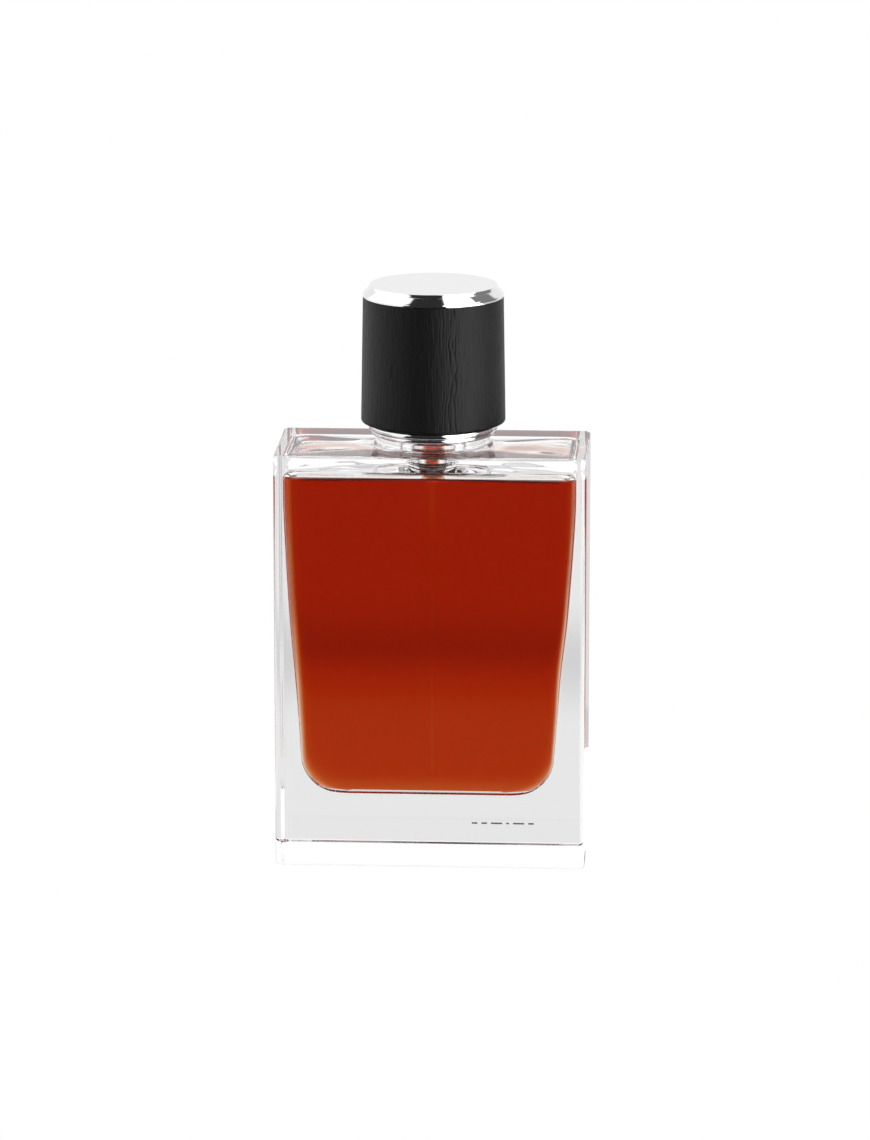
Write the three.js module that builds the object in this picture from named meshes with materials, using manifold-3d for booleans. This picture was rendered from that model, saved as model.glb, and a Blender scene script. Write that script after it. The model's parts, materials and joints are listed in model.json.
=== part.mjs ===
// Pump-spray aftershave bottle: a heavy rectangular glass flask, a crimped spray pump and a round cap.
// Millimetres, +Z up. The origin is the middle of the glass base, on the surface that the bottle stands on.
import * as THREE from "three";
import { mergeVertices } from "three/addons/utils/BufferGeometryUtils.js";
import Module from "manifold-3d";

const wasm = await Module();
wasm.setup();

// ---------------------------------------------------------------- driving dimensions

// Glass flask.
const bodyWidth = 62;
const bodyDepth = 28;
const bodyHeight = 84;
const bodyCornerRadius = 0.8;
const bodyEdgeRadius = 0.6;
const baseThickness = 15;
const shoulderThickness = 3.6;
// Side wall by height in the cavity, from its floor (0) to its ceiling (1): the glass gets thinner upwards.
const sideWallStations = [
  [0, 5.9],
  [0.25, 4.8],
  [0.38, 4.2],
  [0.56, 3.1],
  [0.88, 1.9],
  [1, 1.8],
];
// Front and back wall likewise: the glass swells inwards low down.
const frontWallStations = [
  [0, 5.4],
  [0.14, 5.3],
  [0.255, 4.95],
  [0.38, 2.9],
  [0.5, 2.7],
  [1, 2.7],
];
// The blown cavity is off centre: this share of the side wall goes from the left wall to the right one.
const wallBias = 0.12;
// Flat stretch of the cavity's two ends, seen from above. Its corners are as round as that allows.
const cavityEndFlat = 16.6;
const cavityFloorRadiusX = 7.5;
// The floor is a trough, hollow from front to back, whose rim is at the top of the base.
const cavityTroughDepth = 2.7;
const cavityTroughFlatRise = 0.05;
const cavityCeilingRadius = 1.6;

// Glass neck, a 15 mm crimp finish on a low round pedestal.
const pedestalRise = 2;
const pedestalFilletRadius = 1.4;
const neckRadius = 7.4;
const neckWaistDepth = 0.9;
const neckWaistHeight = 3.2;
const neckBeadHeight = 2.8;
const neckEdgeRadius = 0.5;
const neckFlareRadius = 1;

// Liquid.
const headspace = 1.5;
const liquidGap = 0.3;

// Spray pump.
const pumpStroke = 3.6;
const chamberRadius = 3.4;
const chamberWall = 1;
const springBoreRadius = 1.5;
const lowerBarrelWall = 0.8;
const springRestLength = 8.8;
const springCoils = 7;
const springWireRadius = 0.16;
const stemRadius = 1.6;
const stemBoreRadius = 0.7;
const stemHeadRadius = 2.3;
const stemHeadHeight = 1;
const pistonHeight = 2.6;
const pistonWall = 1;
const pistonLipHeight = 0.5;
const pistonLipTaper = 0.4;
const ballRadius = 0.95;
const ballLift = 0.5;
const valvePortRadius = 0.55;
const valvePortLength = 1;
const valveConeHeight = 0.7;
const tubeRadius = 0.85;
const tubeWall = 0.35;
const tubeSocketWall = 0.5;
const tubeSocketLength = 8.5;
const tubeFloorGap = 1.5;
const neckGasketHeight = 0.9;
const housingFlangeHeight = 0.9;
const stemGasketHeight = 0.8;
const turretHeight = 1.4;
const turretBossWall = 0.9;
const ferruleWall = 0.4;

// Spray head.
const headCoreRadius = 4.6;
const headShellWall = 0.6;
const headEdgeRadius = 0.5;
const stemIntoHead = 3.6;
const riserRadius = 0.5;
const ductRadius = 0.4;
const nozzleRadius = 1.45;
const nozzleLength = 1.8;
const nozzleChamfer = 0.2;
const nozzleDishRadius = 0.87;
const nozzleDishDepth = 0.3;
const nozzleRecess = 0.15;
const orificeRadius = 0.25;
const nozzleAboveCollar = 1.5;
const nozzleBelowTop = 2.3;

// Collar and cap.
const collarInsertWall = 0.55;
const collarInsertLift = 0.6;
const collarWall = 0.45;
const collarFlangeWidth = 3.6;
const collarFlangeHeight = 2;
const collarStepHeight = 0.8;
const collarStepInset = 0.4;
const collarGrooveHeight = 0.15;
const collarGrooveDepth = 1;
const metalEdge = 0.2;
const headIntoCollar = 0.7;
const capHeadroom = 5;
const capLinerWall = 1.2;
const capLinerTop = 0.7;
const capRibDepth = 1.4;
const capRibWidth = 1.2;
const capRibCount = 10;
const capRibHeight = 10;
const capRibLead = 0.84;
const capRibLift = 0.8;
const capSleeveWall = 1.7;
const capSleeveEdge = 0.5;
const capFlare = 0.4;
const plateRimHeight = 0.65;
const plateHeight = 2.4;
const plateStepHeight = 0.7;
const plateBevelWidth = 1.1;
const plateDiscInset = 0.2;

// Clearances.
const seatGap = 0.1; // between pieces stacked on each other
const runGap = 0.1; // round a sliding piston or stem
const looseGap = 0.2; // between sleeves pushed over each other
const openGap = 0.4; // round the spray head, which turns and travels
const restGap = 0.3; // under the collar and under the cap
const cutMargin = 1; // how far a cutting shape stands out of what it cuts

// ---------------------------------------------------------------- derived places

const cavityFloor = baseThickness;
const cavityCeiling = bodyHeight - shoulderThickness;
const cavityHeight = cavityCeiling - cavityFloor;
const fillLevel = cavityCeiling - headspace;
const cavityCornerRadius = (bodyDepth - 2 * frontWallStations.at(-1)[1] - cavityEndFlat) / 2;

const pedestalTop = bodyHeight + pedestalRise;
const neckWaistRadius = neckRadius - neckWaistDepth;
const beadBottom = pedestalTop + neckWaistHeight;
const neckTop = beadBottom + neckBeadHeight;

const neckGasketBottom = neckTop + seatGap;
const neckGasketTop = neckGasketBottom + neckGasketHeight;
const flangeBottom = neckGasketTop + seatGap;
const flangeTop = flangeBottom + housingFlangeHeight;
const turretBottom = flangeTop + seatGap;
const turretTop = turretBottom + turretHeight;
const ferruleRoof = turretTop + seatGap;
const ferruleTop = ferruleRoof + ferruleWall;
const ferruleInnerRadius = neckRadius + looseGap;
const ferruleRadius = ferruleInnerRadius + ferruleWall;

const barrelRadius = chamberRadius + chamberWall;
const neckBoreRadius = barrelRadius + openGap;
const lowerBarrelRadius = springBoreRadius + lowerBarrelWall;
const stemGasketTop = flangeTop - seatGap;
const stemGasketBottom = stemGasketTop - stemGasketHeight;
const gasketSeat = stemGasketBottom - seatGap;
const gasketSeatRadius = chamberRadius + chamberWall / 2;
const pistonTop = gasketSeat - seatGap;
const pistonBottom = pistonTop - pistonHeight;
const stemHeadTop = pistonBottom - seatGap;
const stemHeadBottom = stemHeadTop - stemHeadHeight;
const chamberFloor = stemHeadBottom - pumpStroke - openGap;
const springLedge = stemHeadBottom - springRestLength;
const cageRadius = ballRadius + runGap;
const coneSlope = (cageRadius - valvePortRadius) / valveConeHeight;
// The ball rests on the cone where the cone's normal passes through the ball's middle.
const ballOverPort = (ballRadius * Math.hypot(1, coneSlope) - valvePortRadius) / coneSlope + seatGap / 2;
const portTop = springLedge - ballLift - ballRadius - ballOverPort - seatGap;
const ballHeight = portTop + ballOverPort;
const socketRoof = portTop - valvePortLength;
const socketBottom = socketRoof - tubeSocketLength;
const tubeSocketRadius = tubeRadius + runGap + tubeSocketWall;
const tubeTop = socketRoof - seatGap;
const tubeBottom = cavityFloor + tubeFloorGap;

const headBottom = ferruleTop + pumpStroke + restGap;
const collarTop = headBottom + headIntoCollar;
const nozzleHeight = collarTop + pumpStroke + nozzleAboveCollar;
const headTop = nozzleHeight + nozzleBelowTop;
const headShellInnerRadius = headCoreRadius + looseGap;
const headShellRadius = headShellInnerRadius + headShellWall;
const headCoreTop = headTop - headShellWall - seatGap;
const stemTop = headBottom + stemIntoHead;

const collarInsertRadius = ferruleRadius + looseGap + collarInsertWall;
const collarInnerRadius = collarInsertRadius + seatGap;
// The pedestal fills the shoulder's depth, and its flat top always reaches under the collar's tube.
const pedestalRoom = bodyDepth / 2 - bodyEdgeRadius - seatGap;
const pedestalFillet = Math.min(pedestalFilletRadius, pedestalRoom - collarInnerRadius - neckEdgeRadius);
const pedestalRadius = pedestalRoom - pedestalFillet;
const collarRadius = collarInnerRadius + collarWall;
const collarMouthRadius = headShellRadius + openGap;
const collarBottom = pedestalTop + restGap;
const collarFlangeRadius = collarRadius + collarFlangeWidth;
const collarFlangeTop = collarBottom + collarFlangeHeight;

const capBottom = collarFlangeTop + restGap;
const capRibRadius = collarRadius + looseGap;
const capLinerInnerRadius = capRibRadius + capRibDepth;
const capLinerRadius = capLinerInnerRadius + capLinerWall;
const capSleeveInnerRadius = capLinerRadius + looseGap;
const capTopRadius = capSleeveInnerRadius + capSleeveWall;
const capBottomRadius = capTopRadius + capFlare;
const capLinerRoof = headTop + capHeadroom;
const capLinerHeight = capLinerRoof + capLinerTop;
const plateBottom = capLinerHeight + seatGap;

// ---------------------------------------------------------------- geometry helpers

function toSolid(geometry) {
  const bare = geometry.index ? geometry.toNonIndexed() : geometry.clone();
  bare.deleteAttribute("normal");
  bare.deleteAttribute("uv");
  const merged = mergeVertices(bare, 1e-4);
  const triVerts = new Uint32Array(merged.index.array);
  const vertProperties = merged.attributes.position.array;
  return new wasm.Manifold(new wasm.Mesh({ numProp: 3, vertProperties, triVerts }));
}

function toGeometry(solid) {
  const mesh = solid.getMesh();
  const geometry = new THREE.BufferGeometry();
  geometry.setAttribute("position", new THREE.BufferAttribute(mesh.vertProperties, 3));
  geometry.setIndex(new THREE.BufferAttribute(mesh.triVerts, 1));
  const flat = geometry.toNonIndexed();
  flat.computeVertexNormals();
  return flat;
}

const at = (radius, height) => new THREE.Vector2(radius, height);

// Points of an arc in a profile, with angles in degrees from the outward radius.
function arc(radius, height, size, from, to, steps = 4) {
  return Array.from({ length: steps + 1 }, (_, i) => {
    const angle = THREE.MathUtils.degToRad(from + ((to - from) * i) / steps);
    return at(radius + size * Math.cos(angle), height + size * Math.sin(angle));
  });
}

// A solid of revolution about Z. Its profile runs anticlockwise and starts and ends on the axis.
function turned(profile, segments) {
  return new THREE.LatheGeometry(profile, segments).rotateX(Math.PI / 2);
}

// The same for a ring, whose profile closes on itself.
function ring(profile, segments) {
  return turned([...profile, profile[0]], segments);
}

const washer = (inner, outer, bottom, top, segments) =>
  ring([at(inner, bottom), at(outer, bottom), at(outer, top), at(inner, top)], segments);

function roundedRectangle(width, depth, radius) {
  const x = width / 2 - radius;
  const y = depth / 2 - radius;
  return new THREE.Shape()
    .absarc(x, y, radius, 0, Math.PI / 2)
    .absarc(-x, y, radius, Math.PI / 2, Math.PI)
    .absarc(-x, -y, radius, Math.PI, 1.5 * Math.PI)
    .absarc(x, -y, radius, 1.5 * Math.PI, 2 * Math.PI);
}

function part(name, geometry, material) {
  const mesh = new THREE.Mesh(geometry, material);
  mesh.name = name;
  return mesh;
}

// ---------------------------------------------------------------- materials

const finish = (color, roughness, metalness = 0) =>
  new THREE.MeshStandardMaterial({ color, roughness, metalness });

const clearGlass = finish(0xf2f6f5, 0.03);
clearGlass.transparent = true;
clearGlass.opacity = 0.35;
const amberLiquid = finish(0xa03208, 0.05);
const naturalPlastic = finish(0xeeeae2, 0.35);
const whitePlastic = finish(0xf4f3ef, 0.4);
const blackPlastic = finish(0x151516, 0.45);
const greyRubber = finish(0x55585a, 0.8);
const springSteel = finish(0xb9bcbf, 0.25, 1);
const satinAluminium = finish(0xc9cbce, 0.35, 1);
const chrome = finish(0xe4e6e8, 0.08, 1);
const blackWoodgrain = finish(0x1b1b1d, 0.55);

// ---------------------------------------------------------------- glass flask and liquid

// Levels of the cavity in its rounded floor, up its walls and in its rounded ceiling.
const troughSteps = 4;
const floorSteps = 5;
const wallSteps = 9;
const ceilingSteps = 3;

// Walls at a share of the cavity's height, read from the stations along a smooth curve.
const curveThrough = (stations) => new THREE.SplineCurve(stations.map(([share, wall]) => at(share, wall)));
const sideWallCurve = curveThrough(sideWallStations);
const frontWallCurve = curveThrough(frontWallStations);

function wallAt(curve, share) {
  let low = 0;
  let high = 1;
  while (high - low > 1e-6) {
    const middle = (low + high) / 2;
    if (curve.getPoint(middle).x < share) {
      low = middle;
    } else {
      high = middle;
    }
  }
  return curve.getPoint(low).y;
}

// Even shares from 0 up to, and without, 1.
const shares = (count) => Array.from({ length: count }, (_, i) => i / count);

// How far a quarter round of this radius draws the outline in, at a distance from its flat end.
const drawIn = (radius, distance) =>
  distance < radius ? radius - Math.sqrt(radius ** 2 - (radius - distance) ** 2) : 0;

// The shape of the cavity up to a level, smaller than the glass by a gap all round.
function cavityForm(gap, top) {
  const rim = cavityFloor + gap;
  const bottom = rim - cavityTroughDepth;
  const wallBottom = rim + cavityFloorRadiusX;
  const wallTop = cavityCeiling - gap - cavityCeilingRadius;
  const quarter = Math.PI / 2;
  const levels = [
    ...shares(troughSteps).map((share) => bottom + cavityTroughDepth * share ** 2),
    ...shares(floorSteps).map((share) => rim + cavityFloorRadiusX * (1 - Math.cos(share * quarter))),
    ...shares(wallSteps).map((share) => THREE.MathUtils.lerp(wallBottom, wallTop, share)),
    ...shares(ceilingSteps).map((share) => wallTop + cavityCeilingRadius * Math.sin(share * quarter)),
    wallTop + cavityCeilingRadius,
  ];
  const kept = levels.filter((level) => level < top - seatGap);
  kept.push(top);

  const nominalWidth = bodyWidth - 2 * sideWallStations.at(-1)[1];
  const nominalDepth = bodyDepth - 2 * frontWallStations.at(-1)[1];
  const steps = kept.length - 1;
  const outline = roundedRectangle(nominalWidth, nominalDepth, cavityCornerRadius);
  const form = new THREE.ExtrudeGeometry(outline, {
    depth: 1,
    steps,
    curveSegments: 5,
    bevelEnabled: false,
  });
  const position = form.attributes.position;
  for (let i = 0; i < position.count; i++) {
    const level = kept[Math.round(position.getZ(i) * steps)];
    const share = THREE.MathUtils.clamp((level - cavityFloor) / cavityHeight, 0, 1);
    const side = wallAt(sideWallCurve, share);
    const front = wallAt(frontWallCurve, share);
    const down = cavityCeiling - gap - level;
    const rise = level - bottom + cavityTroughFlatRise;
    const filled = Math.min(rise / (cavityTroughDepth + cavityTroughFlatRise), 1);
    const trough = (bodyDepth / 2 - front - gap) * (1 - Math.sqrt(filled));
    const endY = trough + drawIn(cavityCeilingRadius, down);
    const depth = bodyDepth - 2 * (front + gap + endY);
    const y = (position.getY(i) * depth) / nominalDepth;
    const across = y / (bodyDepth / 2 - front - gap);
    const up = Math.max(level - rim + cavityTroughDepth * (1 - across ** 2), 0);
    const endX = Math.max(drawIn(cavityFloorRadiusX, up), drawIn(cavityCeilingRadius, down));
    const width = bodyWidth - 2 * (side + gap + endX);
    const shift = -wallBias * side;
    position.setXYZ(i, (position.getX(i) * width) / nominalWidth + shift, y, level);
  }
  return form;
}

function bottleGeometry() {
  const outline = roundedRectangle(bodyWidth, bodyDepth, bodyCornerRadius);
  const block = new THREE.ExtrudeGeometry(outline, {
    depth: bodyHeight - 2 * bodyEdgeRadius,
    bevelThickness: bodyEdgeRadius,
    bevelSize: bodyEdgeRadius,
    bevelOffset: -bodyEdgeRadius,
    bevelSegments: 3,
    curveSegments: 3,
  }).translate(0, 0, bodyEdgeRadius);
  const neck = turned(
    [
      at(0, bodyHeight - shoulderThickness / 2),
      at(pedestalRadius + pedestalFillet, bodyHeight - shoulderThickness / 2),
      ...arc(pedestalRadius + pedestalFillet, bodyHeight + pedestalFillet, pedestalFillet, 270, 180),
      ...arc(pedestalRadius - neckEdgeRadius, pedestalTop - neckEdgeRadius, neckEdgeRadius, 0, 90, 2),
      at(neckWaistRadius, pedestalTop),
      at(neckWaistRadius, beadBottom - neckWaistDepth / 2),
      at(neckRadius, beadBottom + neckWaistDepth / 2),
      ...arc(neckRadius - neckEdgeRadius, neckTop - neckEdgeRadius, neckEdgeRadius, 0, 90, 1),
      at(0, neckTop),
    ],
    48,
  );
  const flareRim = neckBoreRadius + neckFlareRadius;
  const bore = turned(
    [
      at(0, cavityCeiling - cavityCeilingRadius),
      at(flareRim, cavityCeiling - cavityCeilingRadius),
      ...arc(flareRim, cavityCeiling + neckFlareRadius, neckFlareRadius, 270, 180, 3),
      at(neckBoreRadius, neckTop + cutMargin),
      at(0, neckTop + cutMargin),
    ],
    32,
  );
  const hollow = toSolid(cavityForm(0, cavityCeiling)).add(toSolid(bore));
  return toGeometry(toSolid(block).add(toSolid(neck)).subtract(hollow));
}

function liquidGeometry() {
  const well = turned(
    [
      at(0, socketBottom - liquidGap),
      at(tubeSocketRadius + liquidGap, socketBottom - liquidGap),
      at(tubeSocketRadius + liquidGap, socketRoof - liquidGap),
      at(lowerBarrelRadius + liquidGap, socketRoof + liquidGap),
      at(lowerBarrelRadius + liquidGap, cavityCeiling),
      at(0, cavityCeiling),
    ],
    24,
  );
  const tubeHole = turned(
    [
      at(0, tubeBottom - liquidGap),
      at(tubeRadius + liquidGap, tubeBottom - liquidGap),
      at(tubeRadius + liquidGap, socketBottom),
      at(0, socketBottom),
    ],
    16,
  );
  const pumpRoom = toSolid(well).add(toSolid(tubeHole));
  return toGeometry(toSolid(cavityForm(liquidGap, fillLevel)).subtract(pumpRoom));
}

// ---------------------------------------------------------------- spray pump

function dipTubeGeometry() {
  return washer(tubeRadius - tubeWall, tubeRadius, tubeBottom, tubeTop, 16);
}

function housingGeometry() {
  const socketBore = tubeRadius + runGap;
  return ring(
    [
      at(socketBore, socketBottom),
      at(tubeSocketRadius, socketBottom),
      at(tubeSocketRadius, socketRoof),
      at(lowerBarrelRadius, socketRoof + lowerBarrelWall),
      at(lowerBarrelRadius, chamberFloor - chamberWall),
      at(barrelRadius, chamberFloor - chamberWall / 2),
      at(barrelRadius, flangeBottom),
      at(neckRadius - seatGap, flangeBottom),
      at(neckRadius - seatGap, flangeTop),
      at(gasketSeatRadius, flangeTop),
      at(gasketSeatRadius, gasketSeat),
      at(chamberRadius, gasketSeat),
      at(chamberRadius, chamberFloor),
      at(springBoreRadius, chamberFloor),
      at(springBoreRadius, springLedge),
      at(cageRadius, springLedge),
      at(cageRadius, portTop + valveConeHeight),
      at(valvePortRadius, portTop),
      at(valvePortRadius, socketRoof),
      at(socketBore, socketRoof),
    ],
    24,
  );
}

class Helix extends THREE.Curve {
  constructor(radius, bottom, height, turns) {
    super();
    Object.assign(this, { radius, bottom, height, turns });
  }

  getPoint(share, target = new THREE.Vector3()) {
    const angle = share * this.turns * 2 * Math.PI;
    return target.set(
      this.radius * Math.cos(angle),
      this.radius * Math.sin(angle),
      this.bottom + share * this.height,
    );
  }
}

function springGeometry() {
  const stepsPerCoil = 10;
  const radius = springBoreRadius - runGap - springWireRadius;
  const margin = springWireRadius + seatGap;
  const path = new Helix(radius, springLedge + margin, springRestLength - 2 * margin, springCoils);
  const wire = new THREE.Shape().absarc(0, 0, springWireRadius, 0, 2 * Math.PI);
  return new THREE.ExtrudeGeometry(wire, {
    steps: springCoils * stepsPerCoil,
    curveSegments: 3,
    extrudePath: path,
    bevelEnabled: false,
  });
}

function stemGeometry() {
  const peg = springBoreRadius - runGap - 2 * springWireRadius - looseGap;
  const boreBottom = stemHeadTop + stemBoreRadius / 2;
  const body = turned(
    [
      at(0, stemHeadBottom - stemHeadHeight),
      at(peg, stemHeadBottom - stemHeadHeight),
      at(peg, stemHeadBottom),
      at(stemHeadRadius, stemHeadBottom),
      at(stemHeadRadius, stemHeadTop - stemHeadHeight / 2),
      at(stemRadius, stemHeadTop),
      at(stemRadius, stemTop),
      at(stemBoreRadius, stemTop),
      at(stemBoreRadius, boreBottom),
      at(0, boreBottom),
    ],
    24,
  );
  // The cross hole just over the head, which the piston covers until the stem moves down through it.
  const portRadius = stemBoreRadius / 2;
  const port = new THREE.CylinderGeometry(portRadius, portRadius, 3 * stemRadius, 8)
    .rotateZ(Math.PI / 2)
    .translate(0, 0, boreBottom + portRadius);
  return toGeometry(toSolid(body).subtract(toSolid(port)));
}

function pistonGeometry() {
  const bore = stemRadius + runGap;
  const lip = chamberRadius - runGap;
  const waist = bore + pistonWall;
  const taper = pistonLipHeight + pistonLipTaper;
  return ring(
    [
      at(bore, pistonBottom),
      at(lip, pistonBottom),
      at(lip, pistonBottom + pistonLipHeight),
      at(waist, pistonBottom + taper),
      at(waist, pistonTop - taper),
      at(lip, pistonTop - pistonLipHeight),
      at(lip, pistonTop),
      at(bore, pistonTop),
    ],
    32,
  );
}

// The seal carrier that closes the pump: a disc with a short guide boss round the stem.
function turretGeometry() {
  const bore = stemRadius + looseGap;
  const boss = bore + turretBossWall;
  const disc = neckRadius - seatGap;
  return ring(
    [
      at(bore, turretBottom),
      at(disc, turretBottom),
      at(disc, turretTop),
      at(boss, turretTop),
      at(boss, ferruleTop + seatGap),
      at(bore, ferruleTop + seatGap),
    ],
    32,
  );
}

// The cup that is crimped under the neck's bead.
function ferruleGeometry() {
  const lipRadius = neckWaistRadius + looseGap;
  const crimpTop = beadBottom - neckWaistDepth / 2 - looseGap;
  const crimpBottom = crimpTop - ferruleWall;
  const mouth = stemRadius + looseGap + turretBossWall + looseGap;
  return ring(
    [
      at(lipRadius, crimpBottom),
      at(ferruleRadius - ferruleWall, crimpBottom),
      at(ferruleRadius, crimpTop),
      ...arc(ferruleRadius - ferruleWall, ferruleTop - ferruleWall, ferruleWall, 0, 90, 2),
      at(mouth, ferruleTop),
      at(mouth, ferruleRoof),
      at(ferruleInnerRadius, ferruleRoof),
      at(ferruleInnerRadius, crimpTop),
      at(lipRadius, crimpTop),
    ],
    40,
  );
}

// ---------------------------------------------------------------- spray head

const nozzlePocketRadius = nozzleRadius + runGap;
const nozzleFront = headShellRadius - nozzleRecess;
const nozzleBack = nozzleFront - nozzleLength;

// A rod along the nozzle's axis, from the stem's axis outwards to the front.
function nozzleRod(radius, from, to, segments) {
  return new THREE.CylinderGeometry(radius, radius, to - from, segments).translate(
    0,
    -(from + to) / 2,
    nozzleHeight,
  );
}

function headCoreGeometry() {
  const socket = stemRadius + runGap;
  const socketTop = stemTop + seatGap;
  const body = turned(
    [
      at(0, socketTop),
      at(socket, socketTop),
      at(socket, headBottom),
      at(headCoreRadius, headBottom),
      at(headCoreRadius, headCoreTop),
      at(0, headCoreTop),
    ],
    40,
  );
  const riser = new THREE.CylinderGeometry(riserRadius, riserRadius, nozzleHeight - stemTop, 12)
    .rotateX(Math.PI / 2)
    .translate(0, 0, (nozzleHeight + stemTop) / 2);
  const duct = nozzleRod(ductRadius, 0, headCoreRadius, 12);
  const pocket = nozzleRod(nozzlePocketRadius, nozzleBack - seatGap, headShellRadius + cutMargin, 24);
  const passages = toSolid(riser).add(toSolid(duct)).add(toSolid(pocket));
  return toGeometry(toSolid(body).subtract(passages));
}

function headShellGeometry() {
  const edge = headEdgeRadius;
  const roof = headTop - headShellWall;
  const body = turned(
    [
      at(0, roof),
      at(headShellInnerRadius, roof),
      at(headShellInnerRadius, headBottom + seatGap),
      at(headShellRadius, headBottom + seatGap),
      ...arc(headShellRadius - edge, headTop - edge, edge, 0, 90, 3),
      at(0, headTop),
    ],
    48,
  );
  const windowRadius = nozzleRadius + looseGap;
  const window = nozzleRod(windowRadius, headCoreRadius / 2, headShellRadius + cutMargin, 24);
  return toGeometry(toSolid(body).subtract(toSolid(window)));
}

// The swirl insert, modelled along Z with its face up: a disc with a dished face and the spray orifice.
function nozzleGeometry() {
  return ring(
    [
      at(orificeRadius, 0),
      at(nozzleRadius, 0),
      at(nozzleRadius, nozzleLength - nozzleChamfer),
      at(nozzleRadius - nozzleChamfer, nozzleLength),
      at(nozzleDishRadius, nozzleLength),
      at(orificeRadius, nozzleLength - nozzleDishDepth),
    ],
    24,
  );
}

// ---------------------------------------------------------------- collar

// Inner sleeve of the collar, which grips the ferrule.
function collarInsertGeometry() {
  const inner = ferruleRadius + looseGap;
  const bottom = collarBottom + collarInsertLift;
  return washer(inner, collarInsertRadius, bottom, collarTop - collarWall - seatGap, 48);
}

// Chromed collar: a tube with an inturned mouth on top and a two-step flange at the bottom.
function collarGeometry() {
  const groove = collarFlangeRadius - collarGrooveDepth;
  const lowerStep = collarFlangeRadius - collarStepInset;
  const edge = metalEdge;
  const stepTop = collarBottom + collarStepHeight;
  const grooveTop = stepTop + collarGrooveHeight;
  return ring(
    [
      at(collarInnerRadius, collarBottom),
      ...arc(lowerStep - edge, collarBottom + edge, edge, -90, 0, 1),
      ...arc(lowerStep - edge, stepTop - edge, edge, 0, 90, 1),
      at(groove, stepTop),
      at(groove, grooveTop),
      ...arc(collarFlangeRadius - edge, grooveTop + edge, edge, -90, 0, 1),
      ...arc(collarFlangeRadius - edge, collarFlangeTop - edge, edge, 0, 90, 1),
      at(collarRadius, collarFlangeTop),
      ...arc(collarRadius - collarWall, collarTop - collarWall, collarWall, 0, 90, 2),
      at(collarMouthRadius, collarTop),
      at(collarMouthRadius, collarTop - collarWall),
      at(collarInnerRadius, collarTop - collarWall),
    ],
    48,
  );
}

// ---------------------------------------------------------------- cap

// Inner cup of the cap, with upright ribs that grip the collar's tube.
function capLinerGeometry() {
  const foot = capBottom + restGap;
  const cup = turned(
    [
      at(0, capLinerRoof),
      at(capLinerInnerRadius, capLinerRoof),
      at(capLinerInnerRadius, foot),
      at(capLinerRadius, foot),
      at(capLinerRadius, capLinerHeight),
      at(0, capLinerHeight),
    ],
    60,
  );
  const ribFoot = foot + capRibLift;
  const ribTop = ribFoot + capRibHeight;
  const ribRoot = capLinerInnerRadius + capLinerWall / 2;
  const outline = new THREE.Shape([
    at(capRibRadius + capRibLead, ribFoot),
    at(ribRoot, ribFoot),
    at(ribRoot, ribTop + capRibLead),
    at(capLinerInnerRadius, ribTop + capRibLead),
    at(capRibRadius, ribTop),
    at(capRibRadius, ribFoot + capRibLead),
  ]);
  let liner = toSolid(cup);
  for (let i = 0; i < capRibCount; i++) {
    const rib = new THREE.ExtrudeGeometry(outline, { depth: capRibWidth, bevelEnabled: false })
      .translate(0, 0, -capRibWidth / 2)
      .rotateX(Math.PI / 2)
      .rotateZ((i * 2 * Math.PI) / capRibCount);
    liner = liner.add(toSolid(rib));
  }
  return toGeometry(liner);
}

function capSleeveGeometry() {
  const edge = capSleeveEdge;
  return ring(
    [
      at(capSleeveInnerRadius, capBottom),
      ...arc(capBottomRadius - edge, capBottom + edge, edge, -90, 0, 2),
      at(capTopRadius, capLinerHeight),
      at(capSleeveInnerRadius, capLinerHeight),
    ],
    60,
  );
}

// Chromed plate on top: an upright rim, a bevel, and a raised flat disc.
function capPlateGeometry() {
  const edge = metalEdge;
  const discRadius = capTopRadius - plateBevelWidth - plateDiscInset;
  const rimTop = plateBottom + plateRimHeight;
  const stepFoot = plateBottom + plateHeight - plateStepHeight;
  const top = plateBottom + plateHeight;
  return turned(
    [
      at(0, plateBottom),
      at(capTopRadius, plateBottom),
      ...arc(capTopRadius - edge, rimTop - edge, edge, 0, 55, 2),
      at(capTopRadius - plateBevelWidth, stepFoot),
      at(discRadius, stepFoot),
      ...arc(discRadius - edge, top - edge, edge, 0, 90, 2),
      at(0, top),
    ],
    60,
  );
}

// ---------------------------------------------------------------- assembly

const nozzle = part("nozzle_insert", nozzleGeometry(), blackPlastic);
nozzle.position.set(0, -nozzleBack, nozzleHeight);
nozzle.rotation.x = Math.PI / 2;

const sprayHead = new THREE.Group().add(
  part("spray_head_core", headCoreGeometry(), whitePlastic),
  part("spray_head_shell", headShellGeometry(), chrome),
  nozzle,
);

const ball = part("inlet_ball", new THREE.SphereGeometry(ballRadius, 16, 10), springSteel);
ball.rotation.x = Math.PI / 2;
ball.position.z = ballHeight;

const pump = new THREE.Group().add(
  part("pump_housing", housingGeometry(), naturalPlastic),
  part("dip_tube", dipTubeGeometry(), naturalPlastic),
  ball,
  part("return_spring", springGeometry(), springSteel),
  part("pump_piston", pistonGeometry(), whitePlastic),
  part("pump_stem", stemGeometry(), whitePlastic),
  part(
    "stem_gasket",
    washer(stemRadius + looseGap, gasketSeatRadius - seatGap, stemGasketBottom, stemGasketTop, 32),
    greyRubber,
  ),
  part("seal_turret", turretGeometry(), whitePlastic),
  part(
    "neck_gasket",
    washer(neckBoreRadius + seatGap, neckRadius - looseGap, neckGasketBottom, neckGasketTop, 32),
    greyRubber,
  ),
  part("crimp_ferrule", ferruleGeometry(), satinAluminium),
);

const collar = new THREE.Group().add(
  part("collar_insert", collarInsertGeometry(), whitePlastic),
  part("collar", collarGeometry(), chrome),
);

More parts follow.
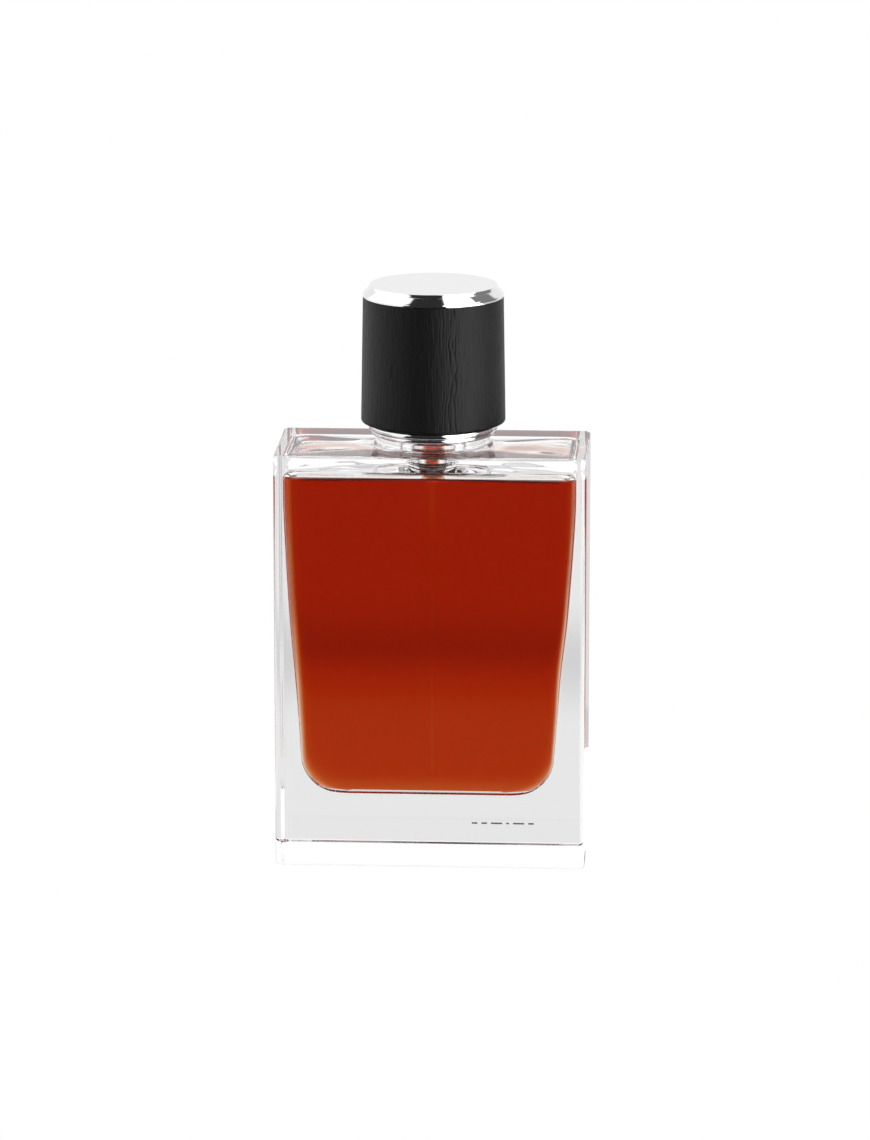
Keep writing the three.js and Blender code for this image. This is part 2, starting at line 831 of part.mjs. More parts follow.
const cap = new THREE.Group().add(
  part("cap_liner", capLinerGeometry(), blackPlastic),
  part("cap_sleeve", capSleeveGeometry(), blackWoodgrain),
  part("cap_top_plate", capPlateGeometry(), chrome),
);

const bottle = new THREE.Group().add(
  part("glass_bottle", bottleGeometry(), clearGlass),
  part("liquid", liquidGeometry(), amberLiquid),
  pump,
  sprayHead,
  collar,
  cap,
);

export default bottle;
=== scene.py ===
# %% [markdown]
# # A pump-spray aftershave bottle
# The bottle is a thick block of clear glass with an amber liquid inside, a crimped spray pump, a chromed
# collar and a round cap of black-stained wood with a chromed top. The CAD model of the same bottle gives
# every place and size. This file makes the fine, visible pieces round it, one cell at a time.

# %% Load the frame
import json
import math

import bmesh
import bpy
from mathutils import Matrix, Vector, noise


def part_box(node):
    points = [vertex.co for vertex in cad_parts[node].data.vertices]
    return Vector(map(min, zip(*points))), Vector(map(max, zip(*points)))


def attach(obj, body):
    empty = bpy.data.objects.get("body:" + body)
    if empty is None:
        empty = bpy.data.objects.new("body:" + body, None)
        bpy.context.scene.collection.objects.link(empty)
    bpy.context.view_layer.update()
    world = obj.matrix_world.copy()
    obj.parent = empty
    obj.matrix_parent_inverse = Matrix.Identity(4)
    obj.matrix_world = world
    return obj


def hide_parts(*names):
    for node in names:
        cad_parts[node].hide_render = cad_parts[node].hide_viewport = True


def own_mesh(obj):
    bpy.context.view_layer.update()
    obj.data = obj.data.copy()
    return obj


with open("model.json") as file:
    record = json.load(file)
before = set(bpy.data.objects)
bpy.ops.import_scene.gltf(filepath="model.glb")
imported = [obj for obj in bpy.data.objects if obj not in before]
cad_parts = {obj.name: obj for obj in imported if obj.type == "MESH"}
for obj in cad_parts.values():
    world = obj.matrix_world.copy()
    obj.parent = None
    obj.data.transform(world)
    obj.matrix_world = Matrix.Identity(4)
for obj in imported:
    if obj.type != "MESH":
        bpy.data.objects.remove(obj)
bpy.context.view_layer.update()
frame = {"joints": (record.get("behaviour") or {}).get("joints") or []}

# %% [markdown]
# Sizes are in metres. Small sizes read better in millimetres, so `MM` turns one into the other. A turned
# node's box says all about where it is: its radius, its foot and its top.

# %% Units and places
MM = 0.001


def turned_size(node):
    """Radius, bottom and top of a CAD node that is round about the Z axis."""
    low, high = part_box(node)
    return high.x, low.z, high.z


glass_low, glass_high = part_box("glass_bottle")
body_width = glass_high.x - glass_low.x
body_depth = glass_high.y - glass_low.y
neck_top = glass_high.z
print(f"glass {body_width / MM:.1f} x {body_depth / MM:.1f} mm, neck top at {neck_top / MM:.1f} mm")

# %% [markdown]
# ## Shader maths
# A material is a small program. Written as nodes one by one it is hard to read, so a `Channel` wraps a
# node's output and lets ordinary arithmetic add the Math nodes. A `Recipe` adds every other node with one
# method, and plain numbers stay on the sockets.


# %% Channel and Recipe
class Channel:
    """The output of a shader node. Arithmetic on it adds Math nodes."""

    def __init__(self, recipe, socket):
        self.recipe = recipe
        self.socket = socket

    def math(self, operation, *others):
        settings = {"operation": operation}
        return self.recipe.node("ShaderNodeMath", settings, dict(enumerate((self, *others))))

    def __add__(self, other):
        return self.math("ADD", other)

    def __mul__(self, other):
        return self.math("MULTIPLY", other)

    def __sub__(self, other):
        return self.math("SUBTRACT", other)

    def __rsub__(self, other):
        return self.recipe.node("ShaderNodeMath", {"operation": "SUBTRACT"}, {0: other, 1: self})

    def __truediv__(self, other):
        return self.math("DIVIDE", other)

    def __pow__(self, other):
        return self.math("POWER", other)

    __radd__ = __add__
    __rmul__ = __mul__

    def step(self, low, high):
        """0 below low, 1 above high, and a smooth rise between them."""
        settings = {"interpolation_type": "SMOOTHSTEP"}
        inputs = {"Value": self, "From Min": low, "From Max": high}
        return self.recipe.node("ShaderNodeMapRange", settings, inputs)

    def band(self, low, high, edge):
        """1 between low and high, with soft edges."""
        return self.step(low - edge, low + edge) * (1 - self.step(high - edge, high + edge))


class Recipe:
    """Builds one node tree, for a material or for the world."""

    def __init__(self, tree):
        self.tree = tree
        tree.nodes.clear()

    def node(self, kind, settings=None, inputs=None, output=0):
        made = self.tree.nodes.new(kind)
        for name, value in (settings or {}).items():
            if name == "stops":
                self.set_stops(made.color_ramp, value)
            else:
                setattr(made, name, value)
        for name, value in (inputs or {}).items():
            self.feed(made.inputs[name], value)
        return Channel(self, made.outputs[output]) if made.outputs else made

    def feed(self, socket, value):
        if isinstance(value, Channel):
            self.tree.links.new(value.socket, socket)
        else:
            socket.default_value = value

    def set_stops(self, ramp, stops):
        while len(ramp.elements) < len(stops):
            ramp.elements.new(1.0)
        for element, (place, colour) in zip(ramp.elements, stops):
            element.position = place
            element.color = (*colour, 1.0)

    def mix(self, factor, first, second):
        """A colour between two colours."""
        inputs = {0: factor, 6: first, 7: second}
        return self.node("ShaderNodeMix", {"data_type": "RGBA"}, inputs, output=2)

    def place(self, scale=(1, 1, 1)):
        """Object coordinates, stretched by a scale."""
        here = self.node("ShaderNodeTexCoord", output="Object")
        return self.node("ShaderNodeMapping", {}, {"Vector": here, "Scale": scale})

    def noise(self, vector, scale, detail=2.0, roughness=0.5):
        inputs = {"Vector": vector, "Scale": scale, "Detail": detail, "Roughness": roughness}
        return self.node("ShaderNodeTexNoise", {}, inputs)

    def bump(self, height, distance, strength=1.0):
        inputs = {"Height": height, "Distance": distance, "Strength": strength}
        return self.node("ShaderNodeBump", {}, inputs)


def colour(red, green, blue):
    return (red, green, blue, 1.0)


def finish_material(name, sockets, build=None):
    """A material with one Principled shader. `build` adds what varies over the surface."""
    material = bpy.data.materials.new(name)
    material.use_nodes = True
    recipe = Recipe(material.node_tree)
    shader = recipe.node("ShaderNodeBsdfPrincipled", {}, sockets)
    recipe.node("ShaderNodeOutputMaterial", {}, {"Surface": shader})
    if build:
        build(recipe, shader.socket.node.inputs)
    return material


# %% [markdown]
# ## Metals
# Chrome plate is nearly a mirror. What makes it look real is that it isn't a perfect one: polishing leaves
# a slow ripple, and fingers and dust leave slightly duller patches. Both are noise, one in the bump and one
# in the roughness. Aluminium that has been deep drawn for the ferrule is satin with fine drawing lines.


# %% Metals
def polished(dull, patches, ripple):
    """Roughness patches and a slow ripple for a polished metal."""

    def build(recipe, inputs):
        here = recipe.place()
        smear = recipe.noise(here, 160, 3.0).step(0.35, 0.75)
        recipe.feed(inputs["Roughness"], dull + smear * patches)
        recipe.feed(inputs["Normal"], recipe.bump(recipe.noise(here, 240, 1.0), ripple))

    return build


def drawn(recipe, inputs):
    lines = recipe.noise(recipe.place((1, 1, 0.05)), 4200, 2.0)
    soft = recipe.noise(recipe.place(), 300, 2.0)
    recipe.feed(inputs["Roughness"], 0.24 + lines * 0.16)
    recipe.feed(inputs["Base Color"], recipe.mix(soft, colour(0.56, 0.57, 0.58), colour(0.68, 0.68, 0.69)))
    recipe.feed(inputs["Normal"], recipe.bump(lines, 0.01 * MM))


chrome = finish_material(
    "bright_chrome",
    {"Base Color": colour(0.80, 0.80, 0.81), "Metallic": 1.0},
    polished(0.05, 0.05, 0.0007 * MM),
)
aluminium = finish_material("satin_aluminium", {"Metallic": 1.0}, drawn)
steel = finish_material(
    "spring_steel",
    {"Base Color": colour(0.50, 0.51, 0.53), "Metallic": 1.0},
    polished(0.12, 0.10, 0.001 * MM),
)
print("metals:", chrome.name, aluminium.name, steel.name)

# %% [markdown]
# ## Plastics and rubber
# The pump's inner pieces are moulded in polypropylene and acetal. Moulded plastic has a faint orange-peel
# surface and lets a little light in. The housing and the dip tube are of clear plastic, so that the liquid
# shows in them. Rubber is matt, with a fine dust of talc.


# %% Plastics and rubber
def moulded(dark, light, rough_low, rough_high, grain):
    """A moulded plastic: slight colour drift, uneven gloss and an orange-peel surface."""

    def build(recipe, inputs):
        here = recipe.place()
        drift = recipe.noise(here, 90, 2.0)
        gloss = recipe.noise(here, 500, 2.0)
        recipe.feed(inputs["Base Color"], recipe.mix(drift, dark, light))
        recipe.feed(inputs["Roughness"], rough_low + gloss * (rough_high - rough_low))
        recipe.feed(inputs["Normal"], recipe.bump(recipe.noise(here, 2600, 1.0), grain))

    return build


white_plastic = finish_material(
    "white_plastic",
    {"Subsurface Weight": 0.15, "Subsurface Scale": 0.8 * MM},
    moulded(colour(0.80, 0.80, 0.77), colour(0.88, 0.88, 0.85), 0.3, 0.45, 0.004 * MM),
)
black_plastic = finish_material(
    "black_plastic",
    {},
    moulded(colour(0.009, 0.009, 0.010), colour(0.015, 0.015, 0.016), 0.34, 0.5, 0.006 * MM),
)
rubber = finish_material(
    "grey_rubber",
    {},
    moulded(colour(0.075, 0.08, 0.085), colour(0.12, 0.13, 0.135), 0.6, 0.85, 0.01 * MM),
)


def housing_gloss(recipe, inputs):
    here = recipe.place()
    recipe.feed(inputs["Roughness"], 0.01 + recipe.noise(here, 300, 2.0) * 0.03)
    recipe.feed(inputs["Normal"], recipe.bump(recipe.noise(here, 900, 1.0), 0.002 * MM))


clear_plastic = finish_material(
    "natural_plastic",
    {"Base Color": colour(0.96, 0.96, 0.94), "Transmission Weight": 1.0, "IOR": 1.49},
    housing_gloss,
)
print("plastics:", white_plastic.name, black_plastic.name, clear_plastic.name, rubber.name)

# %% [markdown]
# ## Glass and liquid
# Clear flint glass bends light and hardly tints it. The liquid is as clear, but it absorbs: thin at the
# rim it glows orange, and through the full depth of the bottle it is a deep red-orange. That is Beer's law,
# so the colour comes from an absorbing volume and not from a painted surface. The three numbers are the
# light that each colour loses in a metre, turned into the density and colour that Volume Absorption takes.
#
# Where glass touches liquid, light bends by the ratio of the two refractive indices, so the wetted faces of
# the glass carry that ratio. The liquid's own closed mesh then bends nothing and only absorbs, and its
# surface against the air is a separate skin with the liquid's index.

# %% Glass and liquid
ABSORBED = (42.0, 192.0, 320.0)  # light lost by red, green and blue, per metre
density = max(ABSORBED) + 6
GLASS_INDEX = 1.5
PLASTIC_INDEX = 1.49
LIQUID_INDEX = 1.36


def clear_wall(name, index):
    """A clear surface with a refractive index relative to what it touches."""
    sockets = {"Base Color": colour(1, 1, 1), "Transmission Weight": 1.0, "IOR": index, "Roughness": 0.0}
    return finish_material(name, sockets)


def faint_tint(recipe, inputs):
    cloud = recipe.noise(recipe.place(), 60, 2.0).step(0.3, 0.7)
    recipe.feed(inputs["Base Color"], recipe.mix(cloud, colour(1, 1, 1), colour(0.992, 0.998, 0.996)))


glass = finish_material(
    "clear_glass",
    {"Transmission Weight": 1.0, "IOR": GLASS_INDEX, "Roughness": 0.0},
    faint_tint,
)
wetted_glass = clear_wall("wetted_glass", GLASS_INDEX / LIQUID_INDEX)
wetted_plastic = clear_wall("wetted_plastic", PLASTIC_INDEX / LIQUID_INDEX)
liquid_skin = clear_wall("liquid_skin", LIQUID_INDEX)


def absorbing(name, strength):
    """A clear liquid that absorbs light, `strength` times as much as the one in the flask."""
    made = clear_wall(name, 1.0)
    absorber = made.node_tree.nodes.new("ShaderNodeVolumeAbsorption")
    absorber.inputs["Density"].default_value = density * strength
    absorber.inputs["Color"].default_value = colour(*(1 - lost / density for lost in ABSORBED))
    output = next(node for node in made.node_tree.nodes if node.type == "OUTPUT_MATERIAL")
    made.node_tree.links.new(absorber.outputs[0], output.inputs["Volume"])
    return made


liquid = absorbing("amber_liquid", 1.0)
pump_charge = absorbing("amber_in_pump", 5.0)
print("liquid absorbs", [round(1 - lost / density, 3) for lost in ABSORBED], "at density", density)

# %% [markdown]
# ## Making solids
# Nearly every piece of a pump is turned or moulded round an axis. `rounded` draws an outline whose corners
# may be rounded, and `spun` turns it with the spin operator. `joined` adds and cuts with the Boolean
# modifier. `make_piece` turns a bmesh into a named piece that rides on a body and stands for a CAD node.


# %% Outline, spin and boolean helpers
def rounded(corners, closed=True, steps=5):
    """An outline through (radius, height) corners. A third number rounds that corner."""
    points = []
    count = len(corners)
    for i, corner in enumerate(corners):
        here = Vector(corner[:2])
        size = corner[2] if len(corner) > 2 else 0
        if not size or (not closed and i in (0, count - 1)):
            points.append(here)
            continue
        before = (Vector(corners[i - 1][:2]) - here).normalized()
        after = (Vector(corners[(i + 1) % count][:2]) - here).normalized()
        half = before.angle(after) / 2
        middle = here + (before + after).normalized() * size / math.sin(half)
        start = here + before * size / math.tan(half) - middle
        end = here + after * size / math.tan(half) - middle
        turn = start.angle_signed(end)
        for k in range(steps + 1):
            points.append(middle + Matrix.Rotation(-turn * k / steps, 2) @ start)
    return points


def spun(outline, closed=True, steps=96):
    """The outline turned round the Z axis. An open outline starts and ends on the axis."""
    bm = bmesh.new()
    verts = [bm.verts.new((point[0], 0, point[1])) for point in outline]
    pairs = list(zip(verts, verts[1:]))
    if closed:
        pairs.append((verts[-1], verts[0]))
    edges = [bm.edges.new(pair) for pair in pairs]
    bmesh.ops.spin(
        bm,
        geom=verts + edges,
        cent=(0, 0, 0),
        axis=(0, 0, 1),
        angle=2 * math.pi,
        steps=steps,
        use_merge=True,
    )
    bmesh.ops.remove_doubles(bm, verts=bm.verts, dist=1e-7)
    bmesh.ops.recalc_face_normals(bm, faces=bm.faces)
    return bm


def temporary(bm):
    mesh = bpy.data.meshes.new("temporary")
    bm.to_mesh(mesh)
    bm.free()
    obj = bpy.data.objects.new("temporary", mesh)
    bpy.context.scene.collection.objects.link(obj)
    return obj


def joined(start, *steps):
    """start, with each (operation, bmesh) of UNION or DIFFERENCE done to it in turn."""
    base = temporary(start)
    tools = []
    for operation, tool in steps:
        tools.append(temporary(tool))
        modifier = base.modifiers.new(operation, "BOOLEAN")
        modifier.operation = operation
        modifier.object = tools[-1]
        modifier.solver = "EXACT"
    evaluated = base.evaluated_get(bpy.context.evaluated_depsgraph_get())
    result = bmesh.new()
    result.from_mesh(evaluated.to_mesh())
    for obj in [base, *tools]:
        bpy.data.objects.remove(obj)
    return result


def make_piece(name, bm, material, body, replaced=(), sharp=35):
    """A finished piece: smooth, with its real edges kept sharp."""
    mesh = bpy.data.meshes.new(name)
    bm.to_mesh(mesh)
    bm.free()
    for polygon in mesh.polygons:
        polygon.use_smooth = True
    mesh.set_sharp_from_angle(angle=math.radians(sharp))
    mesh.materials.append(material)
    piece = bpy.data.objects.new(name, mesh)
    bpy.context.scene.collection.objects.link(piece)
    weighted = piece.modifiers.new("even_shading", "WEIGHTED_NORMAL")
    weighted.keep_sharp = True
    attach(piece, body)
    if replaced:
        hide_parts(*replaced)
    print(f"{name}: {len(mesh.polygons)} faces on {body}")
    return piece




def wet_faces(piece, material, touches_liquid):
    """Gives the faces that touch the liquid the second material."""
    piece.data.materials.append(material)
    for face in piece.data.polygons:
        if touches_liquid(face.center):
            face.material_index = 1


# %% [markdown]
# ## The glass flask
# The flask is pressed and blown in a mould: crisp outside, with small fire-polished edges, and a soft
# hollow inside that the air blew, thick at the foot and thinner towards the shoulder. The block is a cube
# with bevelled edges. The hollow starts as a rectangle with bevelled corners that is extruded upwards in
# many levels, and then each level gets its own width and depth. Its floor is a trough from front to back,
# and its ceiling closes in rings towards the neck. A little deterministic noise gives the blown surface the
# slow waves that make the reflections swim.

# %% Sizes of the flask
BODY_HEIGHT = neck_top - 8 * MM
CORNER_RADIUS = 1.3 * MM
EDGE_RADIUS = 0.6 * MM
CAVITY_FLOOR = 15 * MM
CAVITY_CEILING = BODY_HEIGHT - 3.6 * MM
# Wall thickness in millimetres by share of the hollow's height, from its floor to its ceiling.
SIDE_WALLS = ((0, 5.9), (0.25, 4.8), (0.38, 4.2), (0.56, 3.1), (0.88, 1.9), (1, 1.8))
FRONT_WALLS = ((0, 5.4), (0.14, 5.3), (0.255, 4.95), (0.38, 2.9), (0.5, 2.7), (1, 2.7))
WALL_BIAS = 0.12
CAVITY_CORNER = 3 * MM
FLOOR_RADIUS_X = 7.5 * MM
TROUGH_DEPTH = 2.7 * MM
CEILING_RADIUS = 1.6 * MM
FLAT_RISE = 0.02 * MM  # keeps the trough's lowest level from closing to a line
CROWN = 0.9 * MM
CROWN_WAVES = 0.28 * MM
RINGS = [0.12, 0.3, 0.5, 0.8, 1.2, 1.8, 2.6, 3.6, 5, 7, 9.5, 12, 15, 18, 21, 24]  # distances in mm
MENISCUS = 0.9 * MM
FILL_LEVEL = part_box("liquid")[1].z + 0.4 * MENISCUS
LOWER_BARREL = 2.3 * MM
FIT = 0.01 * MM


def wall_at(stations, share):
    """A wall's thickness at a share of the hollow's height: a smooth curve through the stations."""
    last = len(stations) - 1
    i = next((k for k in range(last) if share <= stations[k + 1][0]), last - 1)
    (x0, y0), (x1, y1) = stations[i], stations[i + 1]
    slope = (y1 - y0) / (x1 - x0)
    before = slope if i == 0 else (y1 - stations[i - 1][1]) / (x1 - stations[i - 1][0])
    after = slope if i == last - 1 else (stations[i + 2][1] - y0) / (stations[i + 2][0] - x0)
    t = (share - x0) / (x1 - x0)
    rise = x1 - x0
    value = (
        (2 * t**3 - 3 * t**2 + 1) * y0
        + (t**3 - 2 * t**2 + t) * before * rise
        + (3 * t**2 - 2 * t**3) * y1
        + (t**3 - t**2) * after * rise
    )
    return value * MM


def draw_in(radius, distance):
    """How far a quarter round draws a wall in, at a distance from its flat end."""
    if distance >= radius:
        return 0.0
    return radius - math.sqrt(max(0.0, radius**2 - (radius - distance) ** 2))


def wave(point):
    """The blown surface's waves: slow ones, and a weak short ripple."""
    slow = noise.noise(point / (17 * MM)) * 0.16 * MM
    short = noise.noise(point / (5 * MM) + Vector((7, 3, 1))) * 0.02 * MM
    return slow + short


# %% The hollow in the glass
def crown(inward, span):
    """Height of the ceiling's crown over its rim."""
    return CROWN * (1 - (1 - inward / span) ** 2)


def meniscus(inward, span):
    """Height of the liquid's surface, which climbs the glass at one end and the pump at the other."""
    return MENISCUS * (math.exp(-inward / (1.1 * MM)) + 0.7 * math.exp((inward - span) / (0.8 * MM)) - 1)


def hollow(gap, top, lift):
    """The blown hollow up to a level, smaller by a gap all round. `lift` shapes its top."""
    rim = CAVITY_FLOOR + gap
    bottom = rim - TROUGH_DEPTH
    ceiling = CAVITY_CEILING - gap
    wall_bottom = rim + FLOOR_RADIUS_X
    wall_top = ceiling - CEILING_RADIUS
    levels = [bottom + TROUGH_DEPTH * (k / 16) ** 2 for k in range(16)]
    levels += [rim + FLOOR_RADIUS_X * (1 - math.cos(k / 14 * math.pi / 2)) for k in range(14)]
    levels += [wall_bottom + (wall_top - wall_bottom) * k / 48 for k in range(49)]
    levels += [wall_top + CEILING_RADIUS * math.sin(k / 8 * math.pi / 2) for k in range(1, 9)]
    levels = [level for level in levels if abs(level - FILL_LEVEL) > 0.3 * MM] + [FILL_LEVEL]
    levels = sorted(level for level in levels if level < top - 0.1 * MM) + [top]

    width = body_width - 2 * SIDE_WALLS[-1][1] * MM
    depth = body_depth - 2 * FRONT_WALLS[-1][1] * MM
    bm = bmesh.new()
    corners = [(-1, -1), (1, -1), (1, 1), (-1, 1)]
    bm.faces.new([bm.verts.new((x * width / 2, y * depth / 2, 0)) for x, y in corners])
    bmesh.ops.bevel(
        bm,
        geom=list(bm.verts),
        offset=CAVITY_CORNER,
        affect="VERTICES",
        segments=16,
        profile=0.5,
        material=-1,
    )
    long_edges = [edge for edge in bm.edges if edge.calc_length() > 3 * MM]
    for edge in long_edges:
        cuts = int(edge.calc_length() / (1.5 * MM))
        bmesh.ops.subdivide_edges(bm, edges=[edge], cuts=cuts)
    end = list(bm.faces)
    inner = LOWER_BARREL - 0.2 * MM
    for _ in levels[1:] + RINGS + RINGS:
        region = bmesh.ops.extrude_face_region(bm, geom=end, use_keep_orig=True)
        end = [item for item in region["geom"] if isinstance(item, bmesh.types.BMFace)]
        verts = [item for item in region["geom"] if isinstance(item, bmesh.types.BMVert)]
        bmesh.ops.translate(bm, verts=verts, vec=(0, 0, 1))
    last = len(levels) - 1 + 2 * len(RINGS)
    caps = [f for f in bm.faces if len(f.verts) > 4 and 0.5 < f.calc_center_median().z < last - 0.5]
    bmesh.ops.delete(bm, geom=caps, context="FACES_ONLY")
    for vert in bm.verts:
        step = round(vert.co.z)
        level = levels[min(step, len(levels) - 1)]
        share = min(max((level - CAVITY_FLOOR) / (CAVITY_CEILING - CAVITY_FLOOR), 0), 1)
        side = wall_at(SIDE_WALLS, share)
        front = wall_at(FRONT_WALLS, share)
        down = ceiling - level
        half = body_depth / 2 - front - gap
        filled = min(1, (level - bottom + FLAT_RISE) / (TROUGH_DEPTH + FLAT_RISE))
        end_y = draw_in(CEILING_RADIUS, down) + half * (1 - math.sqrt(filled))
        y = vert.co.y * 2 * (half - end_y) / depth
        up = max(level - rim + TROUGH_DEPTH * (1 - (y / half) ** 2), 0)
        end_x = max(draw_in(FLOOR_RADIUS_X, up), draw_in(CEILING_RADIUS, down))
        scale_x = (body_width - 2 * (side + gap + end_x)) / width
        x = vert.co.x * scale_x
        outward = Vector((x / body_width, y / body_depth, 0)).normalized()
        push = wave(Vector((x, y, level))) * min(1, max(0, level - rim) / FLOOR_RADIUS_X + 0.2)
        place = Vector((x - WALL_BIAS * side, y, level)) + outward * push
        beyond = step - (len(levels) - 1)  # rings of the top: inwards from the wall, then on to the middle
        if beyond > 0:
            span = place.xy.length - inner
            half = span / 2
            place_in = [ring * MM for ring in RINGS if ring * MM < half * 0.97]
            place_in += [half] * (len(RINGS) - len(place_in))
            k = min(beyond, 2 * len(RINGS) - beyond)
            inward = place_in[k - 1] if k else 0
            inward = inward if beyond <= len(RINGS) else span - inward
            place.xy *= 1 - inward / place.xy.length
            place.z += lift(inward, span)
            if lift is crown:
                place.z += noise.noise(place / (6 * MM)) * CROWN_WAVES * min(1, inward / (3 * MM))
        elif beyond == 0:
            place.z += lift(0, 1)
        vert.co = place
    bmesh.ops.recalc_face_normals(bm, faces=bm.faces)
    return bm


# %% [markdown]
# The block, the pedestal with the neck, the hollow and the bore become one solid: a union and two cuts.

# %% The flask
collar_radius, collar_bottom, collar_top = turned_size("collar")
housing_radius, housing_bottom, housing_top = turned_size("pump_housing")
gasket_top = turned_size("neck_gasket")[2]
PEDESTAL_TOP = collar_bottom - 0.3 * MM
PEDESTAL_RADIUS = 11.2 * MM
PEDESTAL_FILLET = 1.4 * MM
NECK_RADIUS = 7.4 * MM
NECK_WAIST = 6.5 * MM
NECK_BORE = 4.8 * MM
NECK_FLARE = 1 * MM
BEAD_BOTTOM = neck_top - 2.8 * MM


def glass_block():
    bm = bmesh.new()
    bmesh.ops.create_cube(bm, size=1)
    bmesh.ops.scale(bm, verts=bm.verts, vec=(body_width, body_depth, BODY_HEIGHT))
    bmesh.ops.translate(bm, verts=bm.verts, vec=(0, 0, BODY_HEIGHT / 2))
    upright = [e for e in bm.edges if abs(e.verts[0].co.z - e.verts[1].co.z) > BODY_HEIGHT / 2]
    common = {"affect": "EDGES", "segments": 8, "profile": 0.5, "material": -1}
    bmesh.ops.bevel(bm, geom=upright, offset=CORNER_RADIUS, **common)
    ends = [e for e in bm.edges if abs(e.verts[0].co.z - e.verts[1].co.z) < 1e-9]
    bmesh.ops.bevel(bm, geom=ends, offset=EDGE_RADIUS, **common)
    return bm


def neck():
    shoulder_middle = BODY_HEIGHT - 1.8 * MM
    foot = PEDESTAL_RADIUS + PEDESTAL_FILLET
    corners = [
        (0, shoulder_middle),
        (foot, shoulder_middle),
        (foot, BODY_HEIGHT),
        (PEDESTAL_RADIUS, BODY_HEIGHT, PEDESTAL_FILLET * 0.999),
        (PEDESTAL_RADIUS, PEDESTAL_TOP, 0.5 * MM),
        (NECK_WAIST, PEDESTAL_TOP, 0.4 * MM),
        (NECK_WAIST, BEAD_BOTTOM - 0.45 * MM, 0.5 * MM),
        (NECK_RADIUS, BEAD_BOTTOM + 0.45 * MM, 0.4 * MM),
        (NECK_RADIUS, neck_top, 0.6 * MM),
        (0, neck_top),
    ]
    return spun(rounded(corners, closed=False, steps=8), closed=False, steps=128)


def bore():
    flare = NECK_BORE + NECK_FLARE
    start = CAVITY_CEILING - CEILING_RADIUS
    crest = CAVITY_CEILING + CROWN * 0.8
    corners = [
        (0, start),
        (flare, start),
        (flare, crest),
        (NECK_BORE, crest, NECK_FLARE * 0.999),
        (NECK_BORE, neck_top + MM),
        (0, neck_top + MM),
    ]
    return spun(rounded(corners, closed=False, steps=12), closed=False, steps=96)


def in_hollow(middle):
    """True for the hollow's wall below the level to which the liquid climbs."""
    inside = abs(middle.x) < body_width / 2 - 1.2 * MM and abs(middle.y) < body_depth / 2 - 1.2 * MM
    return inside and CAVITY_FLOOR - 1.1 * TROUGH_DEPTH < middle.z < FILL_LEVEL


flask_bm = joined(
    glass_block(),
    ("UNION", neck()),
    ("DIFFERENCE", hollow(0, CAVITY_CEILING, crown)),
    ("DIFFERENCE", bore()),
)
flask = make_piece("glass_flask", flask_bm, glass, "flask", ["glass_bottle"], sharp=45)
wet_faces(flask, wetted_glass, in_hollow)

# %% [markdown]
# ## The liquid
# The liquid is the hollow's own form, a hundredth of a millimetre smaller all round, with a well cut for
# the pump and its tube. Its surface climbs the walls and the pump in a small curve, the meniscus, which
# draws the dark line round the level. The liquid in the pump is darker, so that its thin column shows, and
# it ends where the stem comes to in its stroke.

# %% The liquid
tube_radius, tube_bottom, tube_top = turned_size("dip_tube")
ball_radius, ball_bottom, ball_top = turned_size("inlet_ball")
_, stem_bottom, stem_top = turned_size("pump_stem")
TAIL_RADIUS = 1.45 * MM
SPRING_BORE = 1.5 * MM
CHAMBER_RADIUS = 3.4 * MM
chamber_floor = 85.2 * MM
spring_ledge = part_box("return_spring")[0].z - 0.12 * MM
tail_top = tube_top + 0.1 * MM
tube_bore = tube_radius - 0.35 * MM
travel = next(j for j in frame["joints"] if j["name"] == "spray_press")["range_m"][1]


def liquid_bm():
    """The liquid in the flask, with a well round the pump and its tube."""
    well = [
        (0, tube_bottom - FIT),
        (tube_radius + FIT, tube_bottom - FIT),
        (tube_radius + FIT, housing_bottom - FIT),
        (TAIL_RADIUS + FIT, housing_bottom - FIT),
        (TAIL_RADIUS + FIT, tail_top),
        (LOWER_BARREL + FIT, tail_top + 0.8 * MM),
        (LOWER_BARREL + FIT, CAVITY_CEILING + MM),
        (0, CAVITY_CEILING + MM),
    ]
    return joined(hollow(FIT, FILL_LEVEL, meniscus), ("DIFFERENCE", spun(well, closed=False, steps=64)))


liquid_piece = make_piece("aftershave", liquid_bm(), liquid, "flask", ["liquid"], sharp=50)


def surface_bm():
    """The skin of the liquid, where it meets the air."""
    bm = bmesh.new()
    bm.from_mesh(liquid_piece.data)
    low = FILL_LEVEL - MENISCUS * 1.2
    under = [f for f in bm.faces if f.normal.z < 0.05 or f.calc_center_median().z < low]
    bmesh.ops.delete(bm, geom=under, context="FACES")
    bmesh.ops.translate(bm, verts=bm.verts, vec=(0, 0, 0.5 * FIT))
    return bm


make_piece("liquid_surface", surface_bm(), liquid_skin, "flask", sharp=50)


def charge_bm(outline):
    return spun(outline, closed=False, steps=64)


tube_charge = [
    (0, tube_bottom + FIT),
    (tube_bore - FIT, tube_bottom + FIT),
    (tube_bore - FIT, ball_bottom - 0.3 * MM),
    (0, ball_bottom - 0.3 * MM),
]
barrel_charge = [
    (0, ball_bottom - 0.2 * MM),
    (ball_radius, ball_bottom + 0.5 * MM),
    (SPRING_BORE - FIT, spring_ledge + FIT),
    (SPRING_BORE - FIT, stem_bottom - travel - 0.1 * MM),
    (0, stem_bottom - travel - 0.1 * MM),
]
make_piece("liquid_in_tube", charge_bm(tube_charge), liquid, "flask")
make_piece("liquid_in_barrel", charge_bm(barrel_charge), pump_charge, "flask")

# %% [markdown]
# ## The spray pump
# The pump hangs in the neck: a clear housing with a narrow lower barrel, a tail that holds the dip tube, a
# ball that shuts the inlet, a spring, and a stem with its piston. A turret and two gaskets close it, and an
# aluminium ferrule is crimped under the neck's bead.

